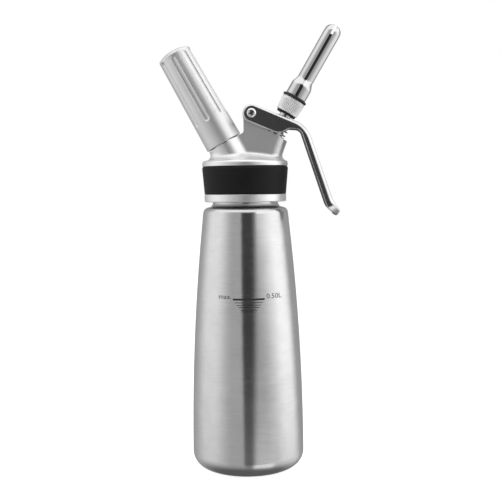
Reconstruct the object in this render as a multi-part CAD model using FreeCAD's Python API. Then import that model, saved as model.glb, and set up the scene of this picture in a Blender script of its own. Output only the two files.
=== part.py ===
import FreeCAD, Part
import os
from math import acos, atan, atan2, cos, degrees, radians, sin, sqrt, tan

# Half litre whipped cream dispenser: a stainless bottle, a screwed head with a sprung lever
# valve and a slotted nozzle on the right, and a gas charger in its holder on the left.
# Millimetres. The origin is the centre of the bottle's foot, +Z is up, +X is the nozzle's
# side and -Y is the front. Two sub-assemblies lean in the XZ plane and are drawn on their
# own local +Z: the valve and nozzle lean to +X, the gas inlet and holder lean to -X.

# ---- clearances ---------------------------------------------------------------------------
FIT = 0.02             # radial gap of pieces that are screwed or pressed together
RUNNING = 0.05         # radial gap of a shaft that turns or slides in its bore
CLEAR = 0.3            # gap between neighbours that move past each other
SEAL_GAP = 0.05        # gap that stands for a seal's light touch
PASS = 0.1             # a thread's crest stays this clear of what is pushed through it
PAST = 1.0             # a cutter runs this far beyond what it cuts

# ---- small rounds of turned edges -----------------------------------------------------------
EDGE_ROUND = 0.4
FINE_ROUND = 0.3
BOLD_ROUND = 0.6

# ---- bottle -------------------------------------------------------------------------------
BOTTLE_RADIUS = 39.3
BOTTLE_WALL = 0.9
FOOT_ROUND = 11.0
RING_INNER = 14.0      # a shallow pressed ring in the underside
RING_OUTER = 22.0
RING_DEPTH = 1.0
RING_ROUND = 1.5
SHOULDER_Z = 183.8
SHOULDER_ROUND = 4.2
NECK_RADIUS = 22.9
SHOULDER_WIDTH = 6.4   # from the neck's wall out to the corner of the shoulder
NECK_FLARE = 3.2
NECK_LENGTH = 20.7     # from the shoulder to the lip
LIP_WIDTH = 1.9
LIP_HEIGHT = 1.8
LIP_ROUND = 0.5

NECK_PITCH = 4.0
NECK_THREAD_DEPTH = 1.1
NECK_THREAD_ROOT = 2.5
NECK_THREAD_CREST = 1.3
NECK_THREAD_START = 6.7     # above the shoulder
NECK_THREAD_LENGTH = 9.0
NECK_THREAD_GAP = 0.6       # between a crest and the wall that it faces
THREAD_BURIED = 0.3         # how deep a thread's root goes into its wall

# ---- head ---------------------------------------------------------------------------------
SKIRT_WALL = 4.0            # this and the next four stand out from the head's bore
BAND_SEAT_WALL = 1.8
BAND_LOW_WALL = 3.9
BAND_HIGH_WALL = 5.45
FLANGE_WALL = 5.3
SKIRT_GAP = 3.9             # from the shoulder up to the skirt's edge
SKIRT_RING = 5.3            # height of the bare ring under the band
SKIRT_ROUND = 0.8
BAND_HEIGHT = 19.3
BAND_CHAMFER = 0.8
BAND_CHAMFER_HEIGHT = 1.3
FLANGE_HEIGHT = 3.6
FLANGE_ROUND = 1.9
CONE_RISE = 5.7             # from the flange's edge to the middle
CHAMBER_LEDGE = 1.5         # the chamber's wall stands in from the lip's bore
CHAMBER_HEIGHT = 4.6
CHAMBER_ROUND = 2.0
GASKET_THICKNESS = 2.4
HEAD_FOOT_FILLET = 3.4      # where the bosses and the saddle rise from the cone
SADDLE_SIDE = 0.4           # the saddle's flat sides stand out from the valve's collar
SADDLE_FILLET = 7.0         # where the flat sides meet the inlet's round boss
FILLET_SHARE = 0.85         # of the room there is, the most that a fillet takes
FIN_LEFT = -0.7
FIN_STEP_DROP = 3.25        # below the pivot
FIN_FILLET = 2.5
EYE_FOOT_ROUND = 1.5        # where the eye's right side meets the sloped top

# ---- valve and nozzle, on a local axis that starts at the valve boss's face -----------------
VALVE_X = 20.7
VALVE_RISE = 18.33          # of the boss's face on its axis, over the flange
VALVE_LEAN = 30.4           # degrees from vertical, towards +X
VALVE_BOSS_REACH = 10.1     # from the axis to the boss's outer end
VALVE_BOSS_DEPTH = 22.0
VALVE_BOSS_LEAN = 20.0      # of the boss's outer end, steeper than the valve

STEM_RADIUS = 4.0
STEM_BORE = 2.4
STEM_TOP = 24.0
COLLAR_RADIUS = 7.6
COLLAR_GAP = 0.12           # between the collar's high edge and the lever's web at rest
COLLAR_THICKNESS = 1.5
STEM_STUD_RADIUS = 2.8
STEM_PORT_RADIUS = 1.6
STEM_PORT_BELOW_SEAT = 2.8
STEM_BORE_BELOW_PORT = 2.1   # from the ports' middle down to the bore's end
SEAT_DEPTH = 19.0           # the valve seat, below the boss's face
SEAT_BORE = 5.4
POCKET_WALL = 1.0           # between the pocket and the saddle's flat sides
POCKET_REACH = 16.0         # down from the seat into the chamber
SEAL_SIDE_GAP = 0.7
SEAL_THICKNESS = 2.0
SEAL_ROUND = 0.5
SEAL_NUT_FLATS = 9.0
SEAL_NUT_HEIGHT = 3.0
STUD_END = 0.6              # the stud shows this much under its nut

GLAND_WALL = 1.7            # between the gland and the saddle's flat sides
GLAND_DEPTH = 13.0
GLAND_GUIDE_GAP = 0.9       # between the guide and the spring's inside
GLAND_GUIDE_HEIGHT = 3.8
GLAND_SLOT_WIDTH = 1.2
GLAND_SLOT_DEPTH = 1.0
GLAND_RING_THICKNESS = 1.0
O_RING_GROOVE_DEPTH = 1.3
STEM_O_RING_WIRE = 0.6
STEM_O_RING_DEPTH = 3.3

WASHER_THICKNESS = 0.6
SPRING_WIRE = 0.55
SPRING_PITCH = 3.05
SPRING_START = -130.0       # degrees round the axis

ADAPTER_GAP = 1.66          # between the adapter's low edge and the lever's web at rest
ADAPTER_HEIGHT = 11.0
ADAPTER_LOW_RADIUS = 7.75
ADAPTER_HIGH_RADIUS = 8.5
ADAPTER_NECK_RADIUS = 7.0
ADAPTER_NECK_HEIGHT = 2.0
ADAPTER_BORE = 3.2
STUB_RADIUS = 5.0
STUB_HEIGHT = 7.9
ADAPTER_O_RING_RADIUS = 8.05
ADAPTER_O_RING_WIRE = 0.85

NOZZLE_PITCH = 2.0
NOZZLE_THREAD_DEPTH = 0.6
NOZZLE_THREAD_ROOT = 1.0
NOZZLE_THREAD_CREST = 0.5
NOZZLE_THREAD_GAP = 0.4
NOZZLE_THREAD_START = 1.3
NOZZLE_THREAD_LENGTH = 4.6
NOZZLE_BASE_RADIUS = 7.5
NOZZLE_BASE_HEIGHT = 8.7
NOZZLE_SHOULDER = 4.4
NOZZLE_SHOULDER_ROUND = 5.0
NOZZLE_INNER_ROUND = 2.0
NOZZLE_TUBE_RADIUS = 5.8
NOZZLE_TIP_RADIUS = 5.95
NOZZLE_LENGTH = 56.3
NOZZLE_DOME = 5.5
NOZZLE_WALL = 0.8
NOZZLE_SLOTS = 6
NOZZLE_SLOT_WIDTH = 1.8
NOZZLE_SLOT_LENGTH = 7.5

# ---- lever --------------------------------------------------------------------------------
PIVOT_X = 4.87
PIVOT_RISE = 32.75          # over the flange
LEVER_TILT = 21.7           # degrees that the lever's top falls towards +X
LEVER_ROUND = 6.05          # round end, and the top's height over the pivot
LEVER_DROP = 6.4            # the cheeks' lower edge under the pivot
LEVER_GAUGE = 1.5
LEVER_EDGE_ROUND = 1.3
# corners of the lever's side view as (x, z, round), from the pivot
LEVER_BEND = (38.33, -8.75, 20.0)
LEVER_FLARE = (55.73, -60.05, 12.0)
LEVER_TIP_HIGH = (61.33, -68.25, 1.8)
LEVER_TIP_LOW = (58.43, -72.35, 1.8)
LEVER_FLARE_INSIDE = (51.53, -64.65, 12.0)
LEVER_ARCH = ((33.93, -11.55, 4.5), (25.73, -10.95, 5.0), (21.43, -13.65, 6.0), (16.43, -13.45, 8.0))
LEVER_HEEL_DROP = 2.65      # from the pivot to the low end of the wall that wraps its end
LEVER_SLOT_TRAVEL = 1.6     # the stem's hole is this much longer than round
EYE_GAP = 0.45              # between the head's eye and the wall that wraps it

SLEEVE_RADIUS = 2.6
SLEEVE_HEAD_RADIUS = 3.4
SLEEVE_HEAD_HEIGHT = 1.3
PIVOT_SCREW_RADIUS = 1.6
PIVOT_SCREW_HEAD_RADIUS = 3.2
PIVOT_SCREW_HEAD_HEIGHT = 1.5
PIVOT_SCREW_HEAD_ROUND = 1.3
PIVOT_SCREW_LENGTH = 14.0     # of its bore
PIVOT_SCREW_END_GAP = 1.0
PIVOT_SCREW_RIM = 1.1       # bare rim round the cross recess
DRIVER_SLOT_WIDTH = 0.9
DRIVER_SLOT_DEPTH = 0.8

# ---- gas inlet, charger and holder, on a local axis that starts at the holder's mouth --------
INLET_X = -14.47
INLET_RISE = 12.87          # of the holder's mouth on its axis, over the flange
INLET_LEAN = -29.0          # degrees from vertical, towards -X
INLET_BOSS_STEP = 0.8       # the boss's side stands in from the holder's mouth
INLET_BOSS_ROOT = 1.0       # how far the boss's whole end face is sunk in the cone
HOLDER_GAP = 0.8            # between the holder's mouth and the head

HOLDER_MOUTH_WALL = 3.2       # outside the bore of its thread
HOLDER_WALL = 2.55            # outside the charger's socket, at the far end
HOLDER_END_PLAY = 0.25        # between the charger's end and the holder's
HOLDER_DOME_RISE = 2.6
HOLDER_END_ROUND = 1.2
HOLDER_CROWN_RADIUS = 6.5     # the nearly flat middle of the domed end
HOLDER_CROWN_ROUND = 16.0
HOLDER_END_WALL = 3.9
HOLDER_SOCKET_ROUND = 2.0
HOLDER_STEP_GAP = 1.5         # from the nipple's end to the step down to the socket
HOLDER_STEP_HEIGHT = 1.0
HOLDER_FLUTES = 8
HOLDER_FLUTE_START = 20.0     # of their straight run
HOLDER_FLUTE_STOP = 6.2       # from the straight run's far end to the holder's
HOLDER_FLUTE_WIDTH = 4.6
HOLDER_FLUTE_DEPTH = 0.8
HOLDER_FLUTE_ANGLE = -9.0   # of the flute nearest the front, round the axis

CHARGER_RADIUS = 9.0
CHARGER_LENGTH = 65.0
CHARGER_WALL = 1.5
CHARGER_NECK_RADIUS = 4.3
CHARGER_NECK_LENGTH = 8.0
CHARGER_NECK_FILLET = 2.0
CHARGER_SHOULDER = 5.0
CHARGER_SHOULDER_ROUND = 5.0
CHARGER_MOUTH_RADIUS = 2.0

NIPPLE_PITCH = 2.0
NIPPLE_THREAD_DEPTH = 0.8
NIPPLE_THREAD_ROOT = 1.1
NIPPLE_THREAD_CREST = 0.5
NIPPLE_THREAD_GAP = 0.5
NIPPLE_THREAD_START = 1.6
NIPPLE_THREAD_LENGTH = 7.0
NIPPLE_HEIGHT = 10.0
NIPPLE_SPIGOT_RADIUS = 6.45
NIPPLE_SPIGOT_DEPTH = 9.0
NIPPLE_TAIL_RADIUS = 4.95
NIPPLE_TAIL_DEPTH = 14.5
NIPPLE_TAIL_REACH = 12.0      # its bore runs on this far into the chamber
NIPPLE_RECESS_RADIUS = 4.8
NIPPLE_RECESS_FLOOR = 1.2
NIPPLE_RING_RADIUS = 8.1
NIPPLE_RING_THICKNESS = 1.2

INLET_GASKET_THICKNESS = 1.8
PIN_BASE_RADIUS = 3.0
PIN_BASE_DEPTH = 2.8
PIN_RADIUS = 1.1
PIN_LENGTH = 4.6
PIN_BORE = 0.45
PIN_BEVEL = 40.0             # degrees of the pin's cut end
GAS_PASSAGE_RADIUS = 1.2
CHECK_BORE = 2.9
CHECK_SEAT_DEPTH = 4.0
CHECK_POPPET_LENGTH = 4.0
CHECK_POPPET_FLAT = 2.2
CHECK_POPPET_RIM = 1.2
CHECK_SPRING_RADIUS = 1.9
CHECK_SPRING_WIRE = 0.25
CHECK_SPRING_PITCH = 0.95
CHECK_PLUG_HEIGHT = 2.4
CHECK_PLUG_KEY = 2.5

# ---- values that follow from the ones above -------------------------------------------------
LIP_Z = SHOULDER_Z + NECK_LENGTH
SKIRT_Z = SHOULDER_Z + SKIRT_GAP
BAND_Z = SKIRT_Z + SKIRT_RING
FLANGE_Z = BAND_Z + BAND_HEIGHT
FLANGE_TOP_Z = FLANGE_Z + FLANGE_HEIGHT
SHOULDER_RADIUS = NECK_RADIUS + SHOULDER_WIDTH
HEAD_BORE = NECK_RADIUS + NECK_THREAD_DEPTH + NECK_THREAD_GAP
SKIRT_RADIUS = HEAD_BORE + SKIRT_WALL
BAND_SEAT_RADIUS = HEAD_BORE + BAND_SEAT_WALL
BAND_LOW_RADIUS = HEAD_BORE + BAND_LOW_WALL
BAND_HIGH_RADIUS = HEAD_BORE + BAND_HIGH_WALL
FLANGE_RADIUS = HEAD_BORE + FLANGE_WALL
CHAMBER_RADIUS = NECK_RADIUS - LIP_WIDTH - CHAMBER_LEDGE
GASKET_SEAT_Z = LIP_Z + GASKET_THICKNESS + SEAL_GAP
CHAMBER_Z = GASKET_SEAT_Z + CHAMBER_HEIGHT

PIVOT_Z = FLANGE_TOP_Z + PIVOT_RISE
VALVE_Z = FLANGE_TOP_Z + VALVE_RISE
INLET_Z = FLANGE_TOP_Z + INLET_RISE

SADDLE_HALF = COLLAR_RADIUS + SADDLE_SIDE
LEVER_INNER_HALF = SADDLE_HALF + CLEAR
LEVER_OUTER_HALF = LEVER_INNER_HALF + LEVER_GAUGE
POCKET_RADIUS = SADDLE_HALF - POCKET_WALL
SEAL_RADIUS = POCKET_RADIUS - SEAL_SIDE_GAP
GLAND_RADIUS = SADDLE_HALF - GLAND_WALL
SPRING_RADIUS = COLLAR_RADIUS - SPRING_WIRE
GLAND_GUIDE_RADIUS = SPRING_RADIUS - SPRING_WIRE - GLAND_GUIDE_GAP
WASHER_RADIUS = COLLAR_RADIUS + PASS

NIPPLE_RADIUS = CHARGER_RADIUS + PASS - NIPPLE_THREAD_GAP
HOLDER_BORE = NIPPLE_RADIUS + NIPPLE_THREAD_DEPTH + NIPPLE_THREAD_GAP
HOLDER_MOUTH_RADIUS = HOLDER_BORE + HOLDER_MOUTH_WALL
HOLDER_SOCKET = CHARGER_RADIUS + CLEAR
HOLDER_END_RADIUS = HOLDER_SOCKET + HOLDER_WALL
INLET_BOSS_RADIUS = HOLDER_MOUTH_RADIUS - INLET_BOSS_STEP
CHARGER_Z = NIPPLE_RECESS_FLOOR + INLET_GASKET_THICKNESS + SEAL_GAP
HOLDER_INNER_END = CHARGER_Z + CHARGER_LENGTH + HOLDER_END_PLAY
HOLDER_LENGTH = HOLDER_INNER_END + HOLDER_END_WALL
HOLDER_EDGE_Z = HOLDER_LENGTH - HOLDER_DOME_RISE

UP = FreeCAD.Vector(0, 0, 1)
ACROSS = FreeCAD.Vector(0, 1, 0)
ORIGIN = FreeCAD.Vector(0, 0, 0)


def inlet_boss_depth():
    """From the holder's mouth down to the boss's end, which is all inside the head."""
    lean = radians(-INLET_LEAN)
    rim = INLET_RISE - CONE_RISE + INLET_BOSS_RADIUS * sin(lean)
    return rim / cos(lean) + INLET_BOSS_ROOT


def web_height(across, over):
    """Where a line along the lever's top, that far over the pivot, is met on the valve's frame."""
    tilt = radians(LEVER_TILT)
    lean = radians(VALVE_LEAN)
    x = VALVE_X + across * cos(lean) - PIVOT_X
    z = VALVE_Z - across * sin(lean) - PIVOT_Z
    return (over - x * sin(tilt) - z * cos(tilt)) / cos(lean - tilt)


INLET_BOSS_DEPTH = inlet_boss_depth()
COLLAR_TOP = web_height(-COLLAR_RADIUS, LEVER_ROUND - LEVER_GAUGE) - COLLAR_GAP
ADAPTER_START = web_height(ADAPTER_LOW_RADIUS, LEVER_ROUND) + ADAPTER_GAP
STUB_Z = ADAPTER_START + ADAPTER_HEIGHT + ADAPTER_NECK_HEIGHT


# ---- geometry helpers -----------------------------------------------------------------------
def point(x, z):
    """A point of the XZ plane."""
    return FreeCAD.Vector(x, 0, z)


def rounded(before, corner, after):
    """Where the arc that rounds one corner starts, passes and ends."""
    here = point(corner[0], corner[1])
    radius = corner[2] if len(corner) > 2 else 0
    back = (point(before[0], before[1]) - here).normalize()
    forth = (point(after[0], after[1]) - here).normalize()
    if radius <= 0:
        return here, None, here
    half = back.getAngle(forth) / 2
    middle = (back + forth).normalize() * (radius / sin(half))
    reach = radius / tan(half)
    passes = here + middle - middle.normalize() * radius
    return here + back * reach, passes, here + forth * reach


def outline(corners):
    """A closed face in the XZ plane through (x, z) or (x, z, radius) corners."""
    count = len(corners)
    arcs = [rounded(corners[i - 1], corners[i], corners[(i + 1) % count]) for i in range(count)]
    edges = []
    for i, (start, passes, end) in enumerate(arcs):
        leaves = arcs[i - 1][2]
        if (start - leaves).Length > 1e-6:
            edges.append(Part.LineSegment(leaves, start).toShape())
        if passes is not None:
            edges.append(Part.Arc(start, passes, end).toShape())
    return Part.Face(Part.Wire(edges))


def inset(corners, distance):
    """The corners moved inwards by a distance, for corners listed anticlockwise."""
    moved = []
    count = len(corners)
    for i, corner in enumerate(corners):
        here = point(corner[0], corner[1])
        radius = corner[2] if len(corner) > 2 else 0
        last, following = corners[i - 1], corners[(i + 1) % count]
        arrive = (here - point(last[0], last[1])).normalize()
        leave = (point(following[0], following[1]) - here).normalize()
        turn = arrive.x * leave.z - arrive.z * leave.x
        inward = point(-arrive.z, arrive.x) + point(-leave.z, leave.x)
        inward = inward * (distance / (1 + arrive.dot(leave)))
        if radius > 0:
            radius = max(radius - distance, 0) if turn > 0 else radius + distance
        moved.append((here.x + inward.x, here.z + inward.z, radius))
    return moved


def turned(corners):
    """A solid of revolution about local +Z from (radius, z) or (radius, z, round) corners."""
    return outline(corners).revolve(ORIGIN, UP, 360)


def tube(outer, inner, low, high):
    """A plain ring."""
    return turned([(inner, low), (outer, low), (outer, high), (inner, high)])


def rod(radius, low, high):
    """A plain cylinder."""
    return Part.makeCylinder(radius, high - low, FreeCAD.Vector(0, 0, low))


def hexagon(across_flats, low, high):
    """A hexagonal prism."""
    reach = across_flats / 2 / cos(radians(30))
    turns = [radians(60 * i) for i in range(7)]
    corners = [FreeCAD.Vector(reach * cos(turn), reach * sin(turn), low) for turn in turns]
    return Part.Face(Part.makePolygon(corners)).extrude(UP * (high - low))


def bar(x0, x1, y_half, z0, z1):
    """A box that is centred across."""
    return Part.makeBox(x1 - x0, 2 * y_half, z1 - z0, FreeCAD.Vector(x0, -y_half, z0))


def plate(corners, half):
    """An outline in the XZ plane given the same thickness to both sides."""
    face = outline(corners)
    face.translate(ACROSS * -half)
    return face.extrude(ACROSS * (2 * half))


def join(shapes):
    """Several overlapping solids as one."""
    return shapes[0].fuse(shapes[1:]).removeSplitter()


def sweep(profile, path):
    """A solid swept along a helix."""
    return Part.Wire(path).makePipeShell([profile], True, True)


def thread(wall, depth, pitch, start, length, root, crest):
    """A helical ridge on a cylindrical wall, outwards for a positive depth and else inwards."""
    buried = wall - THREAD_BURIED * (1 if depth > 0 else -1)
    tip = wall + depth
    corners = [(buried, -root / 2), (tip, -crest / 2), (tip, crest / 2), (buried, root / 2)]
    path = Part.makeHelix(pitch, length, wall)
    ridge = sweep(outline(corners).OuterWire, path)
    ridge.translate(UP * start)
    return ridge


def coil(radius, wire, pitch, low, high, start=0.0):
    """A compression spring that stands between two faces."""
    path = Part.makeHelix(pitch, high - low - 2 * wire, radius)
    ring = Part.Wire(Part.Circle(point(radius, 0), ACROSS, wire).toShape())
    ring.rotate(point(radius, 0), ACROSS, 90)
    spring = sweep(ring, path)
    spring.translate(UP * (low + wire))
    spring.rotate(ORIGIN, UP, start)
    return spring


def o_ring(radius, wire, z):
    """A round section ring."""
    return Part.makeTorus(radius, wire, UP * z)


def leaning(shape, x, z, degrees_from_vertical):
    """A shape drawn on local +Z, placed with its axis leaning in the XZ plane."""
    placed = shape.copy()
    turn = FreeCAD.Rotation(ACROSS, degrees_from_vertical)
    placed.Placement = FreeCAD.Placement(point(x, z), turn).multiply(placed.Placement)
    return placed


def on_valve(shape):
    """A shape of the valve's local frame in the object's frame."""
    return leaning(shape, VALVE_X, VALVE_Z, VALVE_LEAN)


def on_inlet(shape):
    """A shape of the inlet's local frame in the object's frame."""
    return leaning(shape, INLET_X, INLET_Z, INLET_LEAN)


def on_pivot(shape):
    """A shape drawn on local +Z, placed along the lever's pivot with +Z to the back."""
    placed = shape.copy()
    turn = FreeCAD.Rotation(UP, ACROSS)
    placed.Placement = FreeCAD.Placement(point(PIVOT_X, PIVOT_Z), turn).multiply(placed.Placement)
    return placed


def valve_point(across, along):
    """The object's (x, z) of a point of the valve's local frame."""
    lean = radians(VALVE_LEAN)
    x = VALVE_X + across * cos(lean) + along * sin(lean)
    return x, VALVE_Z - across * sin(lean) + along * cos(lean)


def inlet_point(across, along):
    """The object's (x, z) of a point of the inlet's local frame."""
    lean = radians(INLET_LEAN)
    x = INLET_X + across * cos(lean) + along * sin(lean)
    return x, INLET_Z - across * sin(lean) + along * cos(lean)


# ---- bottle -------------------------------------------------------------------------------
def bottle_corners(axis, top):
    """The bottle's outer profile from a radius near the axis up to a height in the neck."""
    middle = (SHOULDER_Z - SHOULDER_ROUND + FOOT_ROUND) / 2
    turn = atan2(BOTTLE_RADIUS - SHOULDER_RADIUS, SHOULDER_Z - middle)
    side_round = (middle - FOOT_ROUND) / tan(turn / 2)
    return [
        (axis, 0),
        (RING_INNER, 0, RING_ROUND),
        (RING_INNER + 2 * RING_DEPTH, RING_DEPTH, RING_ROUND),
        (RING_OUTER, RING_DEPTH, RING_ROUND),
        (RING_OUTER + 2 * RING_DEPTH, 0, RING_ROUND),
        (BOTTLE_RADIUS, 0, FOOT_ROUND),
        (BOTTLE_RADIUS, middle, side_round),
        (SHOULDER_RADIUS, SHOULDER_Z, SHOULDER_ROUND),
        (NECK_RADIUS, SHOULDER_Z, NECK_FLARE),
        (NECK_RADIUS, top),
        (axis, top),
    ]


def bottle():
    outside = turned(bottle_corners(0, LIP_Z - LIP_HEIGHT / 2))
    inside = turned(inset(bottle_corners(-BOTTLE_WALL, LIP_Z + LIP_HEIGHT), BOTTLE_WALL))
    lip_inner = NECK_RADIUS - LIP_WIDTH
    lip_low = LIP_Z - LIP_HEIGHT
    lip = turned([
        (NECK_RADIUS - BOTTLE_WALL, lip_low - BOTTLE_WALL),
        (NECK_RADIUS, lip_low - BOTTLE_WALL),
        (NECK_RADIUS, LIP_Z, LIP_ROUND),
        (lip_inner, LIP_Z, LIP_ROUND),
        (lip_inner, lip_low),
    ])
    ridge = thread(
        NECK_RADIUS, NECK_THREAD_DEPTH, NECK_PITCH, SHOULDER_Z + NECK_THREAD_START,
        NECK_THREAD_LENGTH, NECK_THREAD_ROOT, NECK_THREAD_CREST,
    )
    return join([outside.cut(inside), lip, ridge])


# ---- head ---------------------------------------------------------------------------------
def head_shell():
    """Skirt, band seat, flange and cone, with the chamber hollow."""
    return turned([
        (HEAD_BORE, SKIRT_Z),
        (SKIRT_RADIUS, SKIRT_Z, SKIRT_ROUND),
        (SKIRT_RADIUS, BAND_Z, FINE_ROUND),
        (BAND_SEAT_RADIUS, BAND_Z),
        (BAND_SEAT_RADIUS, FLANGE_Z),
        (FLANGE_RADIUS, FLANGE_Z, EDGE_ROUND),
        (FLANGE_RADIUS, FLANGE_TOP_Z, FLANGE_ROUND),
        (0, FLANGE_TOP_Z + CONE_RISE),
        (0, CHAMBER_Z),
        (CHAMBER_RADIUS, CHAMBER_Z, CHAMBER_ROUND),
        (CHAMBER_RADIUS, GASKET_SEAT_Z),
        (HEAD_BORE, GASKET_SEAT_Z),
    ])


def valve_boss():
    """Flat sided boss with a round outer end, and a face that is square to the valve's axis."""
    centre = VALVE_BOSS_REACH - SADDLE_HALF
    splay = VALVE_LEAN - VALVE_BOSS_LEAN
    foot = centre + VALVE_BOSS_DEPTH * tan(radians(splay))
    low = -VALVE_BOSS_DEPTH
    flat = plate([(-VALVE_BOSS_REACH, low), (foot, low), (centre, 0), (-VALVE_BOSS_REACH, 0)], SADDLE_HALF)
    end = rod(SADDLE_HALF, 2 * low, SADDLE_HALF)
    end.rotate(ORIGIN, ACROSS, -splay)
    end.translate(FreeCAD.Vector(centre, 0, 0))
    end = end.common(bar(-VALVE_BOSS_REACH, 2 * VALVE_BOSS_REACH, 2 * SADDLE_HALF, low, 0))
    return on_valve(flat.fuse(end))


def saddle():
    """Flat plate from the inlet's face up to the pivot's eye and across to the valve's face."""
    eye = LEVER_ROUND - LEVER_GAUGE - EYE_GAP
    lean = radians(VALVE_LEAN)
    right = PIVOT_X + eye
    right_z = VALVE_Z + (VALVE_X - right) * tan(lean)
    inlet_slope = tan(radians(-INLET_LEAN))
    face_x, face_z = inlet_point(0, -HOLDER_GAP)
    left_z = face_z + (FIN_LEFT - face_x) * inlet_slope
    low_left = inlet_point(0, -INLET_BOSS_DEPTH)
    low_right = valve_point(0, -VALVE_BOSS_DEPTH)
    return plate([
        low_left,
        low_right,
        (VALVE_X, VALVE_Z),
        (right, right_z, EYE_FOOT_ROUND),
        (right, PIVOT_Z + eye, eye),
        (right - 2 * eye, PIVOT_Z + eye, eye),
        (right - 2 * eye, PIVOT_Z - FIN_STEP_DROP, BOLD_ROUND),
        (FIN_LEFT, PIVOT_Z - FIN_STEP_DROP, BOLD_ROUND),
        (FIN_LEFT, left_z, FIN_FILLET),
        (face_x, face_z),
    ], SADDLE_HALF)


def foot_fillet():
    """Radius of the foot fillet, less where the inlet's boss leaves little of the cone."""
    lean = radians(-INLET_LEAN)
    drop = INLET_RISE - CONE_RISE / 2
    reach = INLET_BOSS_RADIUS / cos(lean) - INLET_X - drop * tan(lean)
    return min(HEAD_FOOT_FILLET, FILLET_SHARE * (FLANGE_RADIUS - FLANGE_ROUND - reach))


def foot_edges(blank):
    """Edges where the bosses and the saddle meet the cone."""
    slope = CONE_RISE / FLANGE_RADIUS
    found = []
    for edge in blank.Edges:
        first, last = edge.ParameterRange
        samples = [edge.valueAt(first + (last - first) * share) for share in (0.1, 0.5, 0.9)]
        radii = [sqrt(p.x**2 + p.y**2) for p in samples]
        heights = [FLANGE_TOP_Z + CONE_RISE - r * slope for r in radii]
        on_cone = all(abs(p.z - h) < 1e-4 for p, h in zip(samples, heights))
        if on_cone and max(radii) < FLANGE_RADIUS - FLANGE_ROUND:
            found.append(edge)
    return found


def saddle_fillet():
    """Radius of the side fillet, less where the inlet's boss comes near the fin's corner."""
    lean = radians(-INLET_LEAN)
    side = sqrt(INLET_BOSS_RADIUS**2 - SADDLE_HALF**2)
    turn = acos(SADDLE_HALF / INLET_BOSS_RADIUS)
    face_x = inlet_point(0, -HOLDER_GAP)[0]
    corner = (FIN_LEFT - face_x) / cos(lean) - FIN_FILLET * tan((radians(90) - lean) / 2)
    return min(SADDLE_FILLET, FILLET_SHARE * (corner - side) / tan(turn / 2))


def saddle_edges(blank):
    """Edges where the saddle's flat sides meet the inlet's round boss."""
    axis = inlet_point(0, 0)
    side = sqrt(INLET_BOSS_RADIUS**2 - SADDLE_HALF**2)
    lean = radians(INLET_LEAN)
    found = []
    for edge in blank.Edges:
        first, last = edge.ParameterRange
        samples = [edge.valueAt(first + (last - first) * share) for share in (0.1, 0.5, 0.9)]
        across = [(p.x - axis[0]) * cos(lean) - (p.z - axis[1]) * sin(lean) for p in samples]
        on_side = all(abs(abs(p.y) - SADDLE_HALF) < 1e-4 for p in samples)
        if on_side and all(abs(reach - side) < 1e-3 for reach in across):
            found.append(edge)
    return found


def head_body():
    inlet_boss = on_inlet(rod(INLET_BOSS_RADIUS, -INLET_BOSS_DEPTH, -HOLDER_GAP))
    blank = join([head_shell(), inlet_boss, valve_boss(), saddle()])
    blank = blank.makeFillet(saddle_fillet(), saddle_edges(blank))
    blank = blank.makeFillet(foot_fillet(), foot_edges(blank))
    chamber = rod(CHAMBER_RADIUS, SKIRT_Z, CHAMBER_Z)
    tools = [
        chamber,
        on_valve(rod(GLAND_RADIUS + FIT, -GLAND_DEPTH - GLAND_RING_THICKNESS, PAST)),
        on_valve(rod(SEAT_BORE, -SEAT_DEPTH - PAST, 0)),
        on_valve(rod(POCKET_RADIUS, -SEAT_DEPTH - POCKET_REACH, -SEAT_DEPTH)),
        on_inlet(rod(NIPPLE_SPIGOT_RADIUS + FIT, -NIPPLE_SPIGOT_DEPTH, 0)),
        on_inlet(rod(NIPPLE_TAIL_RADIUS + FIT, -NIPPLE_TAIL_DEPTH - NIPPLE_TAIL_REACH, 0)),
        on_inlet(rod(NIPPLE_RING_RADIUS + FIT, -HOLDER_GAP - NIPPLE_RING_THICKNESS, 0)),
        on_pivot(rod(SLEEVE_RADIUS + FIT, -SADDLE_HALF - PAST, SADDLE_HALF + PAST)),
    ]
    ridge = thread(
        HEAD_BORE, -NECK_THREAD_DEPTH, NECK_PITCH,
        SHOULDER_Z + NECK_THREAD_START + NECK_PITCH / 2,
        NECK_THREAD_LENGTH - NECK_PITCH / 4, NECK_THREAD_ROOT, NECK_THREAD_CREST,
    )
    return blank.cut(tools).fuse(ridge)


def grip_band():
    inner = BAND_SEAT_RADIUS + FIT
    low = BAND_Z + FIT
    high = FLANGE_Z - FIT
    return turned([
        (inner, low),
        (BAND_LOW_RADIUS, low, EDGE_ROUND),
        (BAND_HIGH_RADIUS, high - BAND_CHAMFER_HEIGHT, EDGE_ROUND),
        (BAND_HIGH_RADIUS - BAND_CHAMFER, high),
        (inner, high),
    ])


def head_gasket():
    inner = CHAMBER_RADIUS + FIT
    outer = HEAD_BORE - CLEAR
    high = LIP_Z + GASKET_THICKNESS
    return turned([(inner, LIP_Z, EDGE_ROUND), (outer, LIP_Z), (outer, high), (inner, high)])


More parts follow.
